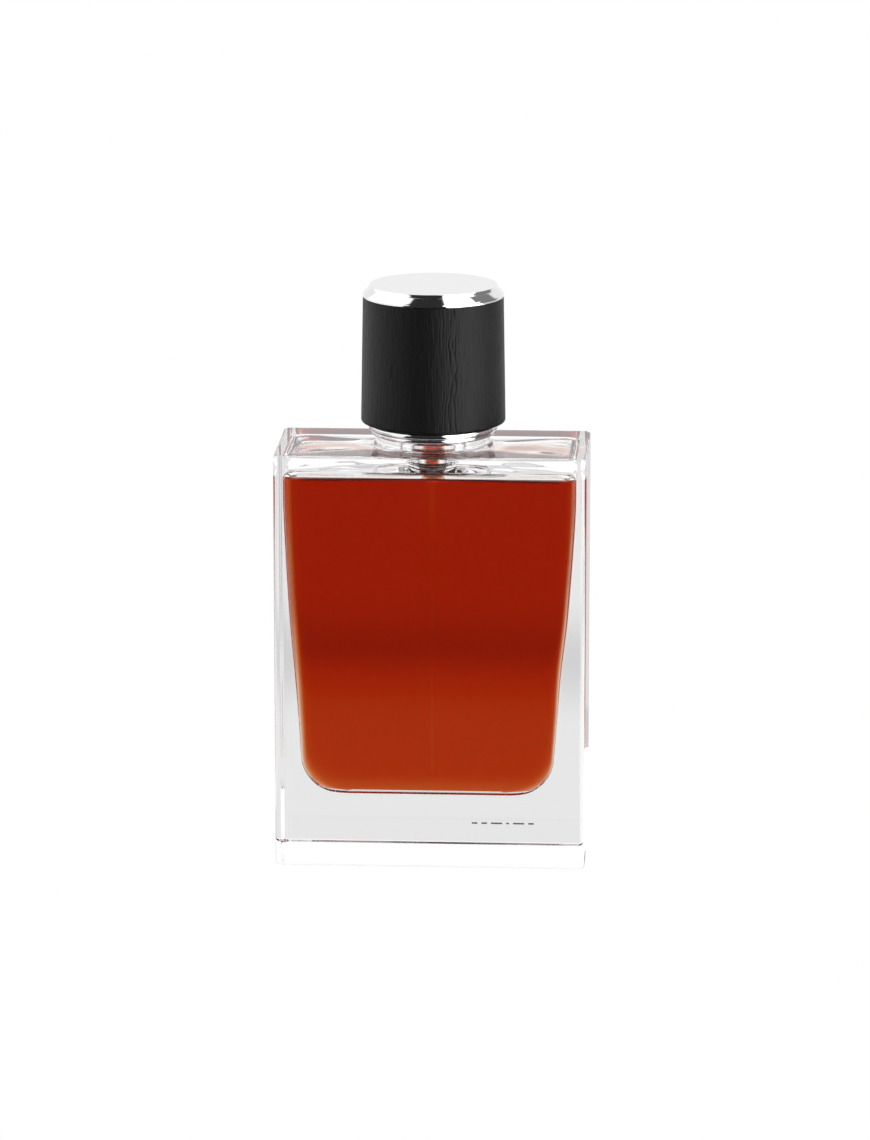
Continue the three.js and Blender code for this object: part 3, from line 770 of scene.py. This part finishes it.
# %% Housing and dip tube
flange_bottom = gasket_top + 0.1 * MM
gasket_seat = flange_bottom - 0.1 * MM


def housing_bm():
    socket = tube_radius + 0.1 * MM
    barrel = CHAMBER_RADIUS + MM
    cage = ball_radius + 0.1 * MM
    port_top = ball_bottom - 0.35 * MM
    port = 0.55 * MM
    corners = [
        (socket, housing_bottom),
        (TAIL_RADIUS, housing_bottom, 0.2 * MM),
        (TAIL_RADIUS, tail_top, 0.1 * MM),
        (LOWER_BARREL, tail_top + 0.8 * MM, 0.4 * MM),
        (LOWER_BARREL, chamber_floor - MM, 0.3 * MM),
        (barrel, chamber_floor - 0.5 * MM, 0.3 * MM),
        (barrel, flange_bottom, 0.1 * MM),
        (housing_radius, flange_bottom, 0.15 * MM),
        (housing_radius, housing_top, 0.15 * MM),
        (3.9 * MM, housing_top),
        (3.9 * MM, gasket_seat),
        (CHAMBER_RADIUS, gasket_seat),
        (CHAMBER_RADIUS, chamber_floor, 0.2 * MM),
        (SPRING_BORE, chamber_floor, 0.15 * MM),
        (SPRING_BORE, spring_ledge),
        (cage, spring_ledge),
        (cage, port_top + 0.7 * MM, 0.1 * MM),
        (port, port_top),
        (port, tail_top),
        (socket, tail_top),
    ]
    return spun(rounded(corners), steps=64)


def dip_tube_bm():
    inner = tube_radius - 0.35 * MM
    edge = 0.08 * MM
    corners = [
        (inner, tube_bottom, edge),
        (tube_radius, tube_bottom, edge),
        (tube_radius, tube_top, edge),
        (inner, tube_top, edge),
    ]
    return spun(rounded(corners, steps=2), steps=32)


def housing_is_wet(middle):
    """True where the housing touches liquid, outside it or in its barrel."""
    radius = middle.xy.length
    lined = radius < (SPRING_BORE if middle.z < chamber_floor - 0.1 * MM else CHAMBER_RADIUS) + 0.1 * MM
    return middle.z < FILL_LEVEL or (lined and middle.z < stem_bottom - 0.4 * MM)


housing = make_piece(
    "clear_pump_housing",
    housing_bm(),
    clear_plastic,
    "flask",
    ["pump_housing"],
)
wet_faces(housing, wetted_plastic, housing_is_wet)
make_piece("clear_dip_tube", dip_tube_bm(), wetted_plastic, "flask", ["dip_tube"])

# %% [markdown]
# A coil spring is a circle of wire carried round and up, which the spin operator does when it is given a
# rise for each step. Its end coils are closed: they lie almost flat, so that the spring stands straight.


# %% Spring and ball
def spring_bm():
    low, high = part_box("return_spring")
    wire = 0.16 * MM
    coil = high.x - wire
    turns_open, steps = 5.0, 28
    closed_rise = 2.15 * wire
    open_rise = (high.z - low.z - 2 * wire - 2 * closed_rise) / turns_open
    bm = bmesh.new()
    made = bmesh.ops.create_circle(bm, segments=10, radius=wire, cap_ends=True)
    bmesh.ops.rotate(bm, verts=made["verts"], cent=(0, 0, 0), matrix=Matrix.Rotation(math.pi / 2, 3, "X"))
    bmesh.ops.translate(bm, verts=made["verts"], vec=(coil, 0, low.z + wire))
    end = list(bm.verts) + list(bm.edges) + list(bm.faces)
    for turns, rise in ((1.0, closed_rise), (turns_open, open_rise), (1.0, closed_rise)):
        count = int(turns * steps)
        made = bmesh.ops.spin(
            bm,
            geom=end,
            cent=(0, 0, 0),
            axis=(0, 0, 1),
            dvec=(0, 0, rise * turns / count),
            angle=2 * math.pi * turns,
            steps=count,
        )
        end = made["geom_last"]
    bmesh.ops.remove_doubles(bm, verts=bm.verts, dist=1e-7)
    inner = [f for f in bm.faces if len(f.verts) > 4 and all(len(e.link_faces) > 2 for e in f.edges)]
    bmesh.ops.delete(bm, geom=inner, context="FACES_ONLY")
    bmesh.ops.recalc_face_normals(bm, faces=bm.faces)
    return bm


spring = make_piece("coil_spring", spring_bm(), steel, "flask", ["return_spring"])
spring_low, spring_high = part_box("return_spring")
spring_length = spring_high.z - spring_low.z
1 - travel / spring_length
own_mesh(spring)


def ball_bm():
    bm = bmesh.new()
    bmesh.ops.create_uvsphere(bm, u_segments=32, v_segments=20, radius=ball_radius)
    bmesh.ops.translate(bm, verts=bm.verts, vec=(0, 0, (ball_bottom + ball_top) / 2))
    return bm


make_piece("steel_ball", ball_bm(), steel, "inlet_valve", ["inlet_ball"])


# %% Stem and piston
STEM_RADIUS = 1.6 * MM


def stem_bm():
    head = 2.3 * MM
    peg = 0.88 * MM
    bore_radius = 0.7 * MM
    head_bottom = stem_bottom + MM
    body = [
        (0, stem_bottom),
        (peg, stem_bottom, 0.25 * MM),
        (peg, head_bottom),
        (head, head_bottom, 0.15 * MM),
        (head, head_bottom + 0.5 * MM, 0.1 * MM),
        (STEM_RADIUS, head_bottom + MM, 0.1 * MM),
        (STEM_RADIUS, stem_top, 0.15 * MM),
        (bore_radius, stem_top, 0.1 * MM),
        (bore_radius, head_bottom + 1.4 * MM),
        (0, head_bottom + 1.4 * MM),
    ]
    hole_radius = 0.35 * MM
    hole_end = 3 * MM
    outline = [(0, -hole_end), (hole_radius, -hole_end), (hole_radius, hole_end), (0, hole_end)]
    hole = spun(outline, closed=False, steps=20)
    bmesh.ops.rotate(hole, verts=hole.verts, cent=(0, 0, 0), matrix=Matrix.Rotation(math.pi / 2, 3, "Y"))
    bmesh.ops.translate(hole, verts=hole.verts, vec=(0, 0, head_bottom + 1.75 * MM))
    return joined(spun(rounded(body, closed=False), closed=False, steps=64), ("DIFFERENCE", hole))


make_piece("stem", stem_bm(), white_plastic, "stem", ["pump_stem"])


def piston_bm():
    radius, bottom, top = turned_size("pump_piston")
    inner = STEM_RADIUS + 0.1 * MM
    waist = inner + MM
    corners = [
        (inner, bottom, 0.08 * MM),
        (radius, bottom, 0.08 * MM),
        (radius, bottom + 0.5 * MM, 0.15 * MM),
        (waist, bottom + 0.9 * MM, 0.2 * MM),
        (waist, top - 0.9 * MM, 0.2 * MM),
        (radius, top - 0.5 * MM, 0.15 * MM),
        (radius, top, 0.08 * MM),
        (inner, top, 0.08 * MM),
    ]
    return spun(rounded(corners), steps=64)


make_piece("piston_seal", piston_bm(), white_plastic, "piston", ["pump_piston"])


# %% Gaskets and turret
def washer_bm(node, inner, edge):
    radius, bottom, top = turned_size(node)
    corners = [(inner, bottom, edge), (radius, bottom, edge), (radius, top, edge), (inner, top, edge)]
    return spun(rounded(corners), steps=64)


make_piece(
    "stem_seal",
    washer_bm("stem_gasket", STEM_RADIUS + 0.2 * MM, 0.15 * MM),
    rubber,
    "flask",
    ["stem_gasket"],
)
make_piece(
    "neck_seal",
    washer_bm("neck_gasket", NECK_BORE + 0.1 * MM, 0.15 * MM),
    rubber,
    "flask",
    ["neck_gasket"],
)


def turret_bm():
    radius, bottom, top = turned_size("seal_turret")
    inner = STEM_RADIUS + 0.2 * MM
    boss = inner + 0.9 * MM
    disc_top = bottom + 1.4 * MM
    corners = [
        (inner, bottom),
        (radius, bottom, 0.1 * MM),
        (radius, disc_top, 0.2 * MM),
        (boss, disc_top, 0.1 * MM),
        (boss, top, 0.1 * MM),
        (inner, top, 0.1 * MM),
    ]
    return spun(rounded(corners), steps=64)


make_piece("turret", turret_bm(), white_plastic, "flask", ["seal_turret"])

# %% [markdown]
# The ferrule is a drawn aluminium cup. A crimping tool with narrow jaws folds its skirt under the bead and
# leaves a ring of shallow flutes, so the lower skirt's radius follows a cosine round the axis.


# %% Ferrule
def ferrule_bm():
    radius, bottom, top = turned_size("crimp_ferrule")
    wall = 0.4 * MM
    lip = NECK_WAIST + 0.2 * MM
    crimp_top = bottom + wall
    mouth = 2.9 * MM
    corners = [
        (lip, bottom, 0.08 * MM),
        (radius - wall, bottom, 0.2 * MM),
        (radius, crimp_top, 0.2 * MM),
        (radius, crimp_top + 2.4 * MM),
        (radius, top, wall),
        (mouth, top, 0.08 * MM),
        (mouth, top - wall, 0.08 * MM),
        (radius - wall, top - wall),
        (radius - wall, crimp_top + 2.4 * MM),
        (radius - wall, crimp_top),
        (lip, crimp_top, 0.08 * MM),
    ]
    bm = spun(rounded(corners), steps=192)
    flutes, depth = 24, 0.12 * MM
    for vert in bm.verts:
        low = 1 - min(1, max(0, (vert.co.z - crimp_top) / (2.2 * MM)))
        if vert.co.xy.length < radius - 0.5 * wall:
            continue
        turn = math.atan2(vert.co.y, vert.co.x)
        shrink = 1 - depth * low * (0.5 - 0.5 * math.cos(flutes * turn)) / radius
        vert.co.x *= shrink
        vert.co.y *= shrink
    return bm


make_piece("ferrule", ferrule_bm(), aluminium, "flask", ["crimp_ferrule"])

# %% [markdown]
# ## The spray head
# A white core with the ducts inside sits in a chromed shell. The finger pushes on the shell's dished top,
# and a small black insert in its side breaks the liquid into a mist.

# %% Spray head
core_radius, head_bottom, core_top = turned_size("spray_head_core")
shell_radius, shell_bottom, head_top = turned_size("spray_head_shell")
nozzle_low, nozzle_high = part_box("nozzle_insert")
nozzle_height = (nozzle_low.z + nozzle_high.z) / 2
nozzle_radius = nozzle_high.x


def rod_to_front(radius, start, end, steps=48):
    """A rod along the nozzle's axis, from `start` to `end` in front of the Z axis."""
    bm = spun([(0, start), (radius, start), (radius, end), (0, end)], closed=False, steps=steps)
    bmesh.ops.rotate(bm, verts=bm.verts, cent=(0, 0, 0), matrix=Matrix.Rotation(math.pi / 2, 3, "X"))
    bmesh.ops.translate(bm, verts=bm.verts, vec=(0, 0, nozzle_height))
    return bm


def head_core_bm():
    socket = STEM_RADIUS + 0.1 * MM
    socket_top = stem_top + 0.1 * MM
    corners = [
        (0, socket_top),
        (socket, socket_top, 0.1 * MM),
        (socket, head_bottom, 0.1 * MM),
        (core_radius, head_bottom, 0.3 * MM),
        (core_radius, core_top, 0.3 * MM),
        (0, core_top),
    ]
    body = spun(rounded(corners, closed=False), closed=False, steps=96)
    pocket = rod_to_front(nozzle_radius + 0.1 * MM, -nozzle_high.y - 0.1 * MM, core_radius + MM)
    duct = rod_to_front(0.4 * MM, 0, core_radius, 20)
    return joined(body, ("DIFFERENCE", pocket), ("DIFFERENCE", duct))


def head_shell_bm():
    wall = 0.6 * MM
    dish = 0.35 * MM
    corners = [
        (0, head_top - wall),
        (shell_radius - wall, head_top - wall, 0.2 * MM),
        (shell_radius - wall, shell_bottom, 0.15 * MM),
        (shell_radius, shell_bottom, 0.2 * MM),
        (shell_radius, head_top, 0.55 * MM),
        (shell_radius - 1.1 * MM, head_top, 0.5 * MM),
        (shell_radius * 0.45, head_top - dish, 4 * MM),
        (0, head_top - dish),
    ]
    body = spun(rounded(corners, closed=False, steps=8), closed=False, steps=128)
    window = rod_to_front(nozzle_radius + 0.2 * MM, core_radius / 2, shell_radius + MM)
    return joined(body, ("DIFFERENCE", window))


def nozzle_bm():
    front, back = -nozzle_low.y, -nozzle_high.y
    orifice = 0.25 * MM
    corners = [
        (orifice, back),
        (nozzle_radius, back, 0.1 * MM),
        (nozzle_radius, front, 0.2 * MM),
        (0.87 * MM, front, 0.1 * MM),
        (orifice, front - 0.3 * MM, 0.05 * MM),
    ]
    bm = spun(rounded(corners), steps=48)
    bmesh.ops.rotate(bm, verts=bm.verts, cent=(0, 0, 0), matrix=Matrix.Rotation(math.pi / 2, 3, "X"))
    bmesh.ops.translate(bm, verts=bm.verts, vec=(0, 0, nozzle_height))
    return bm


make_piece("head_core", head_core_bm(), white_plastic, "spray_head", ["spray_head_core"])
make_piece("head_shell", head_shell_bm(), chrome, "spray_head", ["spray_head_shell"])
make_piece("spray_nozzle", nozzle_bm(), black_plastic, "spray_head", ["nozzle_insert"])

# %% [markdown]
# ## The collar
# The chromed collar hides the ferrule. Its flange is the two-step ring that shows between the cap and the
# glass, so its edges are rounded like real pressed metal. A white sleeve inside grips the ferrule.


# %% Collar and its sleeve
def collar_bm():
    tube_outer = 9.3 * MM
    tube_inner = 8.85 * MM
    mouth = 5.8 * MM
    wall = tube_outer - tube_inner
    lower = collar_radius - 0.4 * MM
    groove = collar_radius - MM
    step_top = collar_bottom + 0.8 * MM
    groove_top = step_top + 0.15 * MM
    flange_top = collar_bottom + 2 * MM
    corners = [
        (tube_inner, collar_bottom, 0.1 * MM),
        (lower, collar_bottom, 0.28 * MM),
        (lower, step_top, 0.22 * MM),
        (groove, step_top),
        (groove, groove_top),
        (collar_radius, groove_top, 0.25 * MM),
        (collar_radius, flange_top, 0.3 * MM),
        (tube_outer, flange_top, 0.25 * MM),
        (tube_outer, collar_top, wall),
        (mouth, collar_top, 0.15 * MM),
        (mouth, collar_top - wall, 0.15 * MM),
        (tube_inner, collar_top - wall),
    ]
    return spun(rounded(corners, steps=6), steps=192)


make_piece("chrome_collar", collar_bm(), chrome, "flask", ["collar"])
make_piece(
    "collar_sleeve",
    washer_bm("collar_insert", 8.2 * MM, 0.12 * MM),
    white_plastic,
    "flask",
    ["collar_insert"],
)

# %% [markdown]
# ## The cap
# The cap is three pieces: a moulded black liner with ribs that grip the collar, a turned sleeve of wood and
# a chromed plate. The liner's ribs are boxes joined to its cup by the Boolean modifier.


# %% Cap liner
def liner_bm():
    radius, bottom, top = turned_size("cap_liner")
    wall = 1.2 * MM
    inner = radius - wall
    roof = top - 0.7 * MM
    corners = [
        (0, roof),
        (inner, roof, 0.5 * MM),
        (inner, bottom, 0.2 * MM),
        (radius, bottom, 0.2 * MM),
        (radius, top, 0.2 * MM),
        (0, top),
    ]
    cup = spun(rounded(corners, closed=False), closed=False, steps=128)
    rib_foot = bottom + 0.8 * MM
    rib_top = rib_foot + 10.84 * MM
    lead = 0.84 * MM
    reach = 9.5 * MM
    ribs = []
    for k in range(10):
        rib = bmesh.new()
        bmesh.ops.create_cube(rib, size=1)
        bmesh.ops.scale(rib, verts=rib.verts, vec=(2 * MM, 1.2 * MM, rib_top - rib_foot))
        bmesh.ops.translate(rib, verts=rib.verts, vec=(reach + MM, 0, (rib_foot + rib_top) / 2))
        for vert in rib.verts:
            if vert.co.x < reach + 0.5 * MM:
                vert.co.z += lead if vert.co.z < (rib_foot + rib_top) / 2 else -lead
        turn = Matrix.Rotation(2 * math.pi * k / 10, 3, "Z")
        bmesh.ops.rotate(rib, verts=rib.verts, cent=(0, 0, 0), matrix=turn)
        ribs.append(("UNION", rib))
    return joined(cup, *ribs)


make_piece("ribbed_liner", liner_bm(), black_plastic, "cap", ["cap_liner"])

# %% [markdown]
# ## Black-stained wood
# Ash or oak that is stained black keeps its open grain: under a satin lacquer the pores stay as fine
# grooves that run up the cap, and where the turned surface cuts the growth rings flat they close into long
# pointed loops. `grain` is the depth of those grooves at a point of the sleeve. It displaces a fine mesh,
# so the relief is real, and it is also kept as an attribute, which the material reads for colour and gloss.

# %% Wood grain
GRAIN_DEPTH = 0.12 * MM
LOOPS = (0.0, -12.4, 12.0, 24.5, -24.0, 36.0, -35.5)
LOOPS_AT = math.radians(-71)


def grain(turn, height):
    """Depth of the grain from 0 to 1, at an angle round the cap and a height above its foot."""
    arc = 14.2 * ((turn - LOOPS_AT + math.pi) % (2 * math.pi) - math.pi)
    up = height / MM
    sway = noise.noise(Vector((arc * 0.1, up * 0.10, 3.1))) * 1.0
    wiggle = noise.noise(Vector((arc * 0.5, up * 0.6, 8.4))) * 0.28
    home = min(LOOPS, key=lambda middle: abs(arc - middle))
    across = abs(arc + sway - home)
    middle = 3 + 19 * (0.5 + 0.5 * math.sin(home * 1.7 + 0.6))
    reach = 0.085 * min(abs(up - middle), abs(up - middle - 17), abs(up - middle + 17))
    ring = (math.hypot(across, reach) + wiggle) / 0.72
    line = max(0.0, math.cos(2 * math.pi * ring)) ** 2
    fade = max(0.0, 1 - across / 3.4) * (1.0 if home == 0 else 0.55)
    patchy = min(1.0, max(0.1, 0.6 + 1.6 * noise.noise(Vector((arc * 0.9, up * 0.22, 5.0)))))
    fibres = noise.noise(Vector((arc * 2.6, up * 0.16, 1.7))) * 0.5 + 0.5
    pores = max(0.0, noise.noise(Vector((arc * 4.5, up * 0.6, 6.2))) - 0.25) * 1.2
    return min(1.0, line * fade * patchy * 0.9 + fibres * 0.3 + pores * 0.35)


def wood_look(recipe, inputs):
    depth = recipe.node("ShaderNodeAttribute", {"attribute_name": "grain"}, output="Fac")
    fibres = recipe.noise(recipe.place((1, 1, 0.06)), 3400, 3.0, 0.6)
    cloud = recipe.noise(recipe.place((1, 1, 0.3)), 190, 2.0)
    stain = recipe.mix(depth, colour(0.0040, 0.0040, 0.0045), colour(0.0022, 0.0022, 0.0024))
    recipe.feed(inputs["Base Color"], recipe.mix(cloud * 0.35, stain, colour(0.0065, 0.0065, 0.007)))
    recipe.feed(inputs["Roughness"], 0.38 + depth * 0.18 + fibres * 0.1)
    recipe.feed(inputs["Normal"], recipe.bump(fibres, 0.09 * MM))


wood = finish_material("black_wood", {"Specular IOR Level": 0.2}, wood_look)


# %% Cap sleeve
def sleeve_bm():
    low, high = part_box("cap_sleeve")
    bottom, top, foot_radius = low.z, high.z, high.x
    plate_radius = turned_size("cap_top_plate")[0]
    inner = 12.3 * MM
    rows = 110
    edge = 0.5 * MM
    outline = [(inner, top), (inner, bottom)]
    for k in range(7):
        turn = k / 6 * math.pi / 2
        outline.append((foot_radius - edge + edge * math.sin(turn), bottom + edge - edge * math.cos(turn)))
    for k in range(1, rows + 1):
        share = k / rows
        radius = foot_radius + (plate_radius - foot_radius) * share
        outline.append((radius, bottom + edge + (top - bottom - edge) * share))
    bm = spun(outline, steps=600)
    layer = bm.verts.layers.float.new("grain")
    for vert in bm.verts:
        radius = vert.co.xy.length
        if radius < plate_radius - 0.3 * MM:
            continue
        depth = grain(math.atan2(vert.co.y, vert.co.x), vert.co.z - bottom)
        vert[layer] = depth
        shrink = 1 - depth * GRAIN_DEPTH / radius
        vert.co.x *= shrink
        vert.co.y *= shrink
    return bm


make_piece("wooden_sleeve", sleeve_bm(), wood, "cap", ["cap_sleeve"])

# %% [markdown]
# The plate on top is spun metal: an upright rim, a bevel, a small upright step and a flat disc.


# %% Cap plate
def plate_bm():
    radius, bottom, top = turned_size("cap_top_plate")
    step_radius = radius - 1.1 * MM
    disc = radius - 1.3 * MM
    corners = [
        (0, bottom),
        (radius, bottom, 0.08 * MM),
        (radius, bottom + 0.65 * MM, 0.22 * MM),
        (step_radius, top - 0.7 * MM, 0.12 * MM),
        (disc, top - 0.7 * MM, 0.08 * MM),
        (disc, top, 0.16 * MM),
        (0, top),
    ]
    return spun(rounded(corners, closed=False, steps=6), closed=False, steps=256)


make_piece("chrome_top_plate", plate_bm(), chrome, "cap", ["cap_top_plate"], sharp=30)

# %% [markdown]
# ## The fill mark
# Low on the front there is a line of small grey print. It is replaced by a row of plain dashes, which says
# nothing. Each dash is a thin bar of ink a few hundredths of a millimetre proud of the glass.

# %% Fill mark
ink = finish_material(
    "grey_ink",
    {},
    moulded(colour(0.10, 0.10, 0.10), colour(0.15, 0.15, 0.15), 0.45, 0.6, 0.002 * MM),
)
DASHES = (0.7, 0.7, 1.4, 0.35, 1.4, 0.7)


def mark_bm():
    bm = bmesh.new()
    at = 8.5 * MM
    for length in DASHES:
        made = bmesh.ops.create_cube(bm, size=1)["verts"]
        size = (length * 1.6 * MM, 0.03 * MM, 0.32 * MM)
        bmesh.ops.scale(bm, verts=made, vec=size)
        place = (at + size[0] / 2, glass_low.y - size[1] / 2 + 0.002 * MM, 9.4 * MM)
        bmesh.ops.translate(bm, verts=made, vec=place)
        at += size[0] + 0.8 * MM
    return bm


make_piece("fill_mark", mark_bm(), ink, "flask")

# %% [markdown]
# ## The studio
# The bottle stands on a pale floor in a white studio. What polished metal mirrors is the room: a bright
# soft box to the right, a weaker one to the left, a white backdrop, and the dark gap between the boxes
# where the camera stands. The world holds that room as bands of brightness by compass direction. Rays that
# have passed through glass see a gentler version of it, as a soft light tent gives, and the camera sees
# white.

# %% World and floor
CAMERA_AZIMUTH = math.radians(3.25)
DARK = 0.03
LEAN = 0.39


def compass(recipe, vector, start=0.0):
    """The direction round the Z axis in degrees, 0 towards the camera and positive to its right."""
    split = recipe.node("ShaderNodeSeparateXYZ", {}, {0: vector})
    x, y, z = (Channel(recipe, out) for out in split.socket.node.outputs)
    turn = recipe.node("ShaderNodeMath", {"operation": "ARCTAN2"}, {0: x, 1: z * LEAN - y - start})
    return turn * math.degrees(1) - math.degrees(CAMERA_AZIMUTH), z


def mirrored_room(recipe, azimuth, darker_right=0.75):
    """Brightness of the room as polished metal mirrors it."""
    right_box = azimuth.band(18, 77, 3) * 3.4
    right_gap = azimuth.band(77, 128, 4) * darker_right
    left_box = azimuth.band(-134, -43, 4) * 0.4
    gap = azimuth.band(-43, 18, 3) * (0.99 - DARK)
    return 0.99 + right_box + left_box - gap - right_gap


def ray_kind(recipe, name):
    return recipe.node("ShaderNodeLightPath", {}, {}, output=name)


def mirror_ray(recipe):
    """1 for a ray that last came off a polished surface and not through one."""
    return ray_kind(recipe, "Is Glossy Ray") * (1 - ray_kind(recipe, "Is Transmission Ray"))


world = bpy.data.worlds.new("studio")
bpy.context.scene.world = world
world.use_nodes = True
room = Recipe(world.node_tree)
azimuth, height = compass(room, room.node("ShaderNodeTexCoord", output="Generated"))
horizon = height.band(-0.02, 0.12, 0.03) * (1 - azimuth.band(-43, 18, 3)) * azimuth.band(-130, 130, 8)
mirrored = mirrored_room(room, azimuth) * (1 - horizon * 0.75)
tent = 1.08 - azimuth.band(-43, 18, 12) * 0.45
camera_ray = ray_kind(room, "Is Camera Ray")
glossy_ray = mirror_ray(room)
seen = glossy_ray * mirrored + (1 - glossy_ray) * tent
seen = camera_ray * 1.0 + (1 - camera_ray) * seen
background = room.node("ShaderNodeBackground", {}, {"Color": colour(1, 1, 1), "Strength": seen})
room.node("ShaderNodeOutputWorld", {}, {"Surface": background})

floor_material = bpy.data.materials.new("pale_floor")
floor_material.use_nodes = True
table = Recipe(floor_material.node_tree)
here = table.node("ShaderNodeTexCoord", output="Object")
floor_azimuth, _ = compass(table, here, -0.085)
split = table.node("ShaderNodeSeparateXYZ", {}, {0: here})
back = Channel(table, split.socket.node.outputs[1])
# Painted shade: rays that are not camera rays see the floor glow at 0.83, with a band 0.17 darker from
# 0.135 to 0.20 m behind the bottle.
floor_with_painted_shade_band = 0.83 - back.band(0.135, 0.20, 0.03) * 0.17
# Painted light and shade: in polished metal the floor shows the room's soft boxes and its dark gap, by
# compass direction, at 0.8 of the room's brightness.
floor_painted_room_light = mirrored_room(table, floor_azimuth, 0.15) * 0.8
floor_glossy = mirror_ray(table)
floor_camera = ray_kind(table, "Is Camera Ray")
floor_seen = floor_glossy * floor_painted_room_light + (1 - floor_glossy) * floor_with_painted_shade_band
floor_seen = floor_camera * 1.0 + (1 - floor_camera) * floor_seen
glow = table.node("ShaderNodeEmission", {}, {"Strength": floor_seen})
table.node("ShaderNodeOutputMaterial", {}, {"Surface": glow})

floor_bm = bmesh.new()
bmesh.ops.create_circle(floor_bm, cap_ends=True, segments=64, radius=0.6)
bmesh.ops.translate(floor_bm, verts=floor_bm.verts, vec=(0, 0, -0.1 * MM))
floor_mesh = bpy.data.meshes.new("floor")
floor_bm.to_mesh(floor_mesh)
floor_bm.free()
floor_mesh.materials.append(floor_material)
floor = bpy.data.objects.new("floor", floor_mesh)
bpy.context.scene.collection.objects.link(floor)
print("world and floor are ready")

# %% [markdown]
# ## Camera and colour
# A long lens from a little above, turned slightly to the right, keeps the block's sides almost parallel.
# The view transform is Standard, so that the white studio comes out white.

# %% Camera
CAMERA_TARGET = Vector((0.33 * MM, 0, 57.97 * MM))
CAMERA_DISTANCE = 1.0789
CAMERA_ELEVATION = math.radians(13.22)

camera_data = bpy.data.cameras.new("camera")
camera_data.lens = 169.9
camera_data.sensor_width = 36
camera_data.clip_start = 0.05
camera = bpy.data.objects.new("camera", camera_data)
bpy.context.scene.collection.objects.link(camera)
away = Vector(
    (
        math.sin(CAMERA_AZIMUTH) * math.cos(CAMERA_ELEVATION),
        -math.cos(CAMERA_AZIMUTH) * math.cos(CAMERA_ELEVATION),
        math.sin(CAMERA_ELEVATION),
    )
)
camera.location = CAMERA_TARGET + away * CAMERA_DISTANCE
camera.rotation_euler = away.to_track_quat("Z", "Y").to_euler()
scene = bpy.context.scene
scene.camera = camera
scene.view_settings.view_transform = "Standard"
scene.view_settings.look = "None"
scene.cycles.max_bounces = 32
scene.cycles.transmission_bounces = 32
scene.cycles.glossy_bounces = 12
print("camera at", [round(v, 3) for v in camera.location])
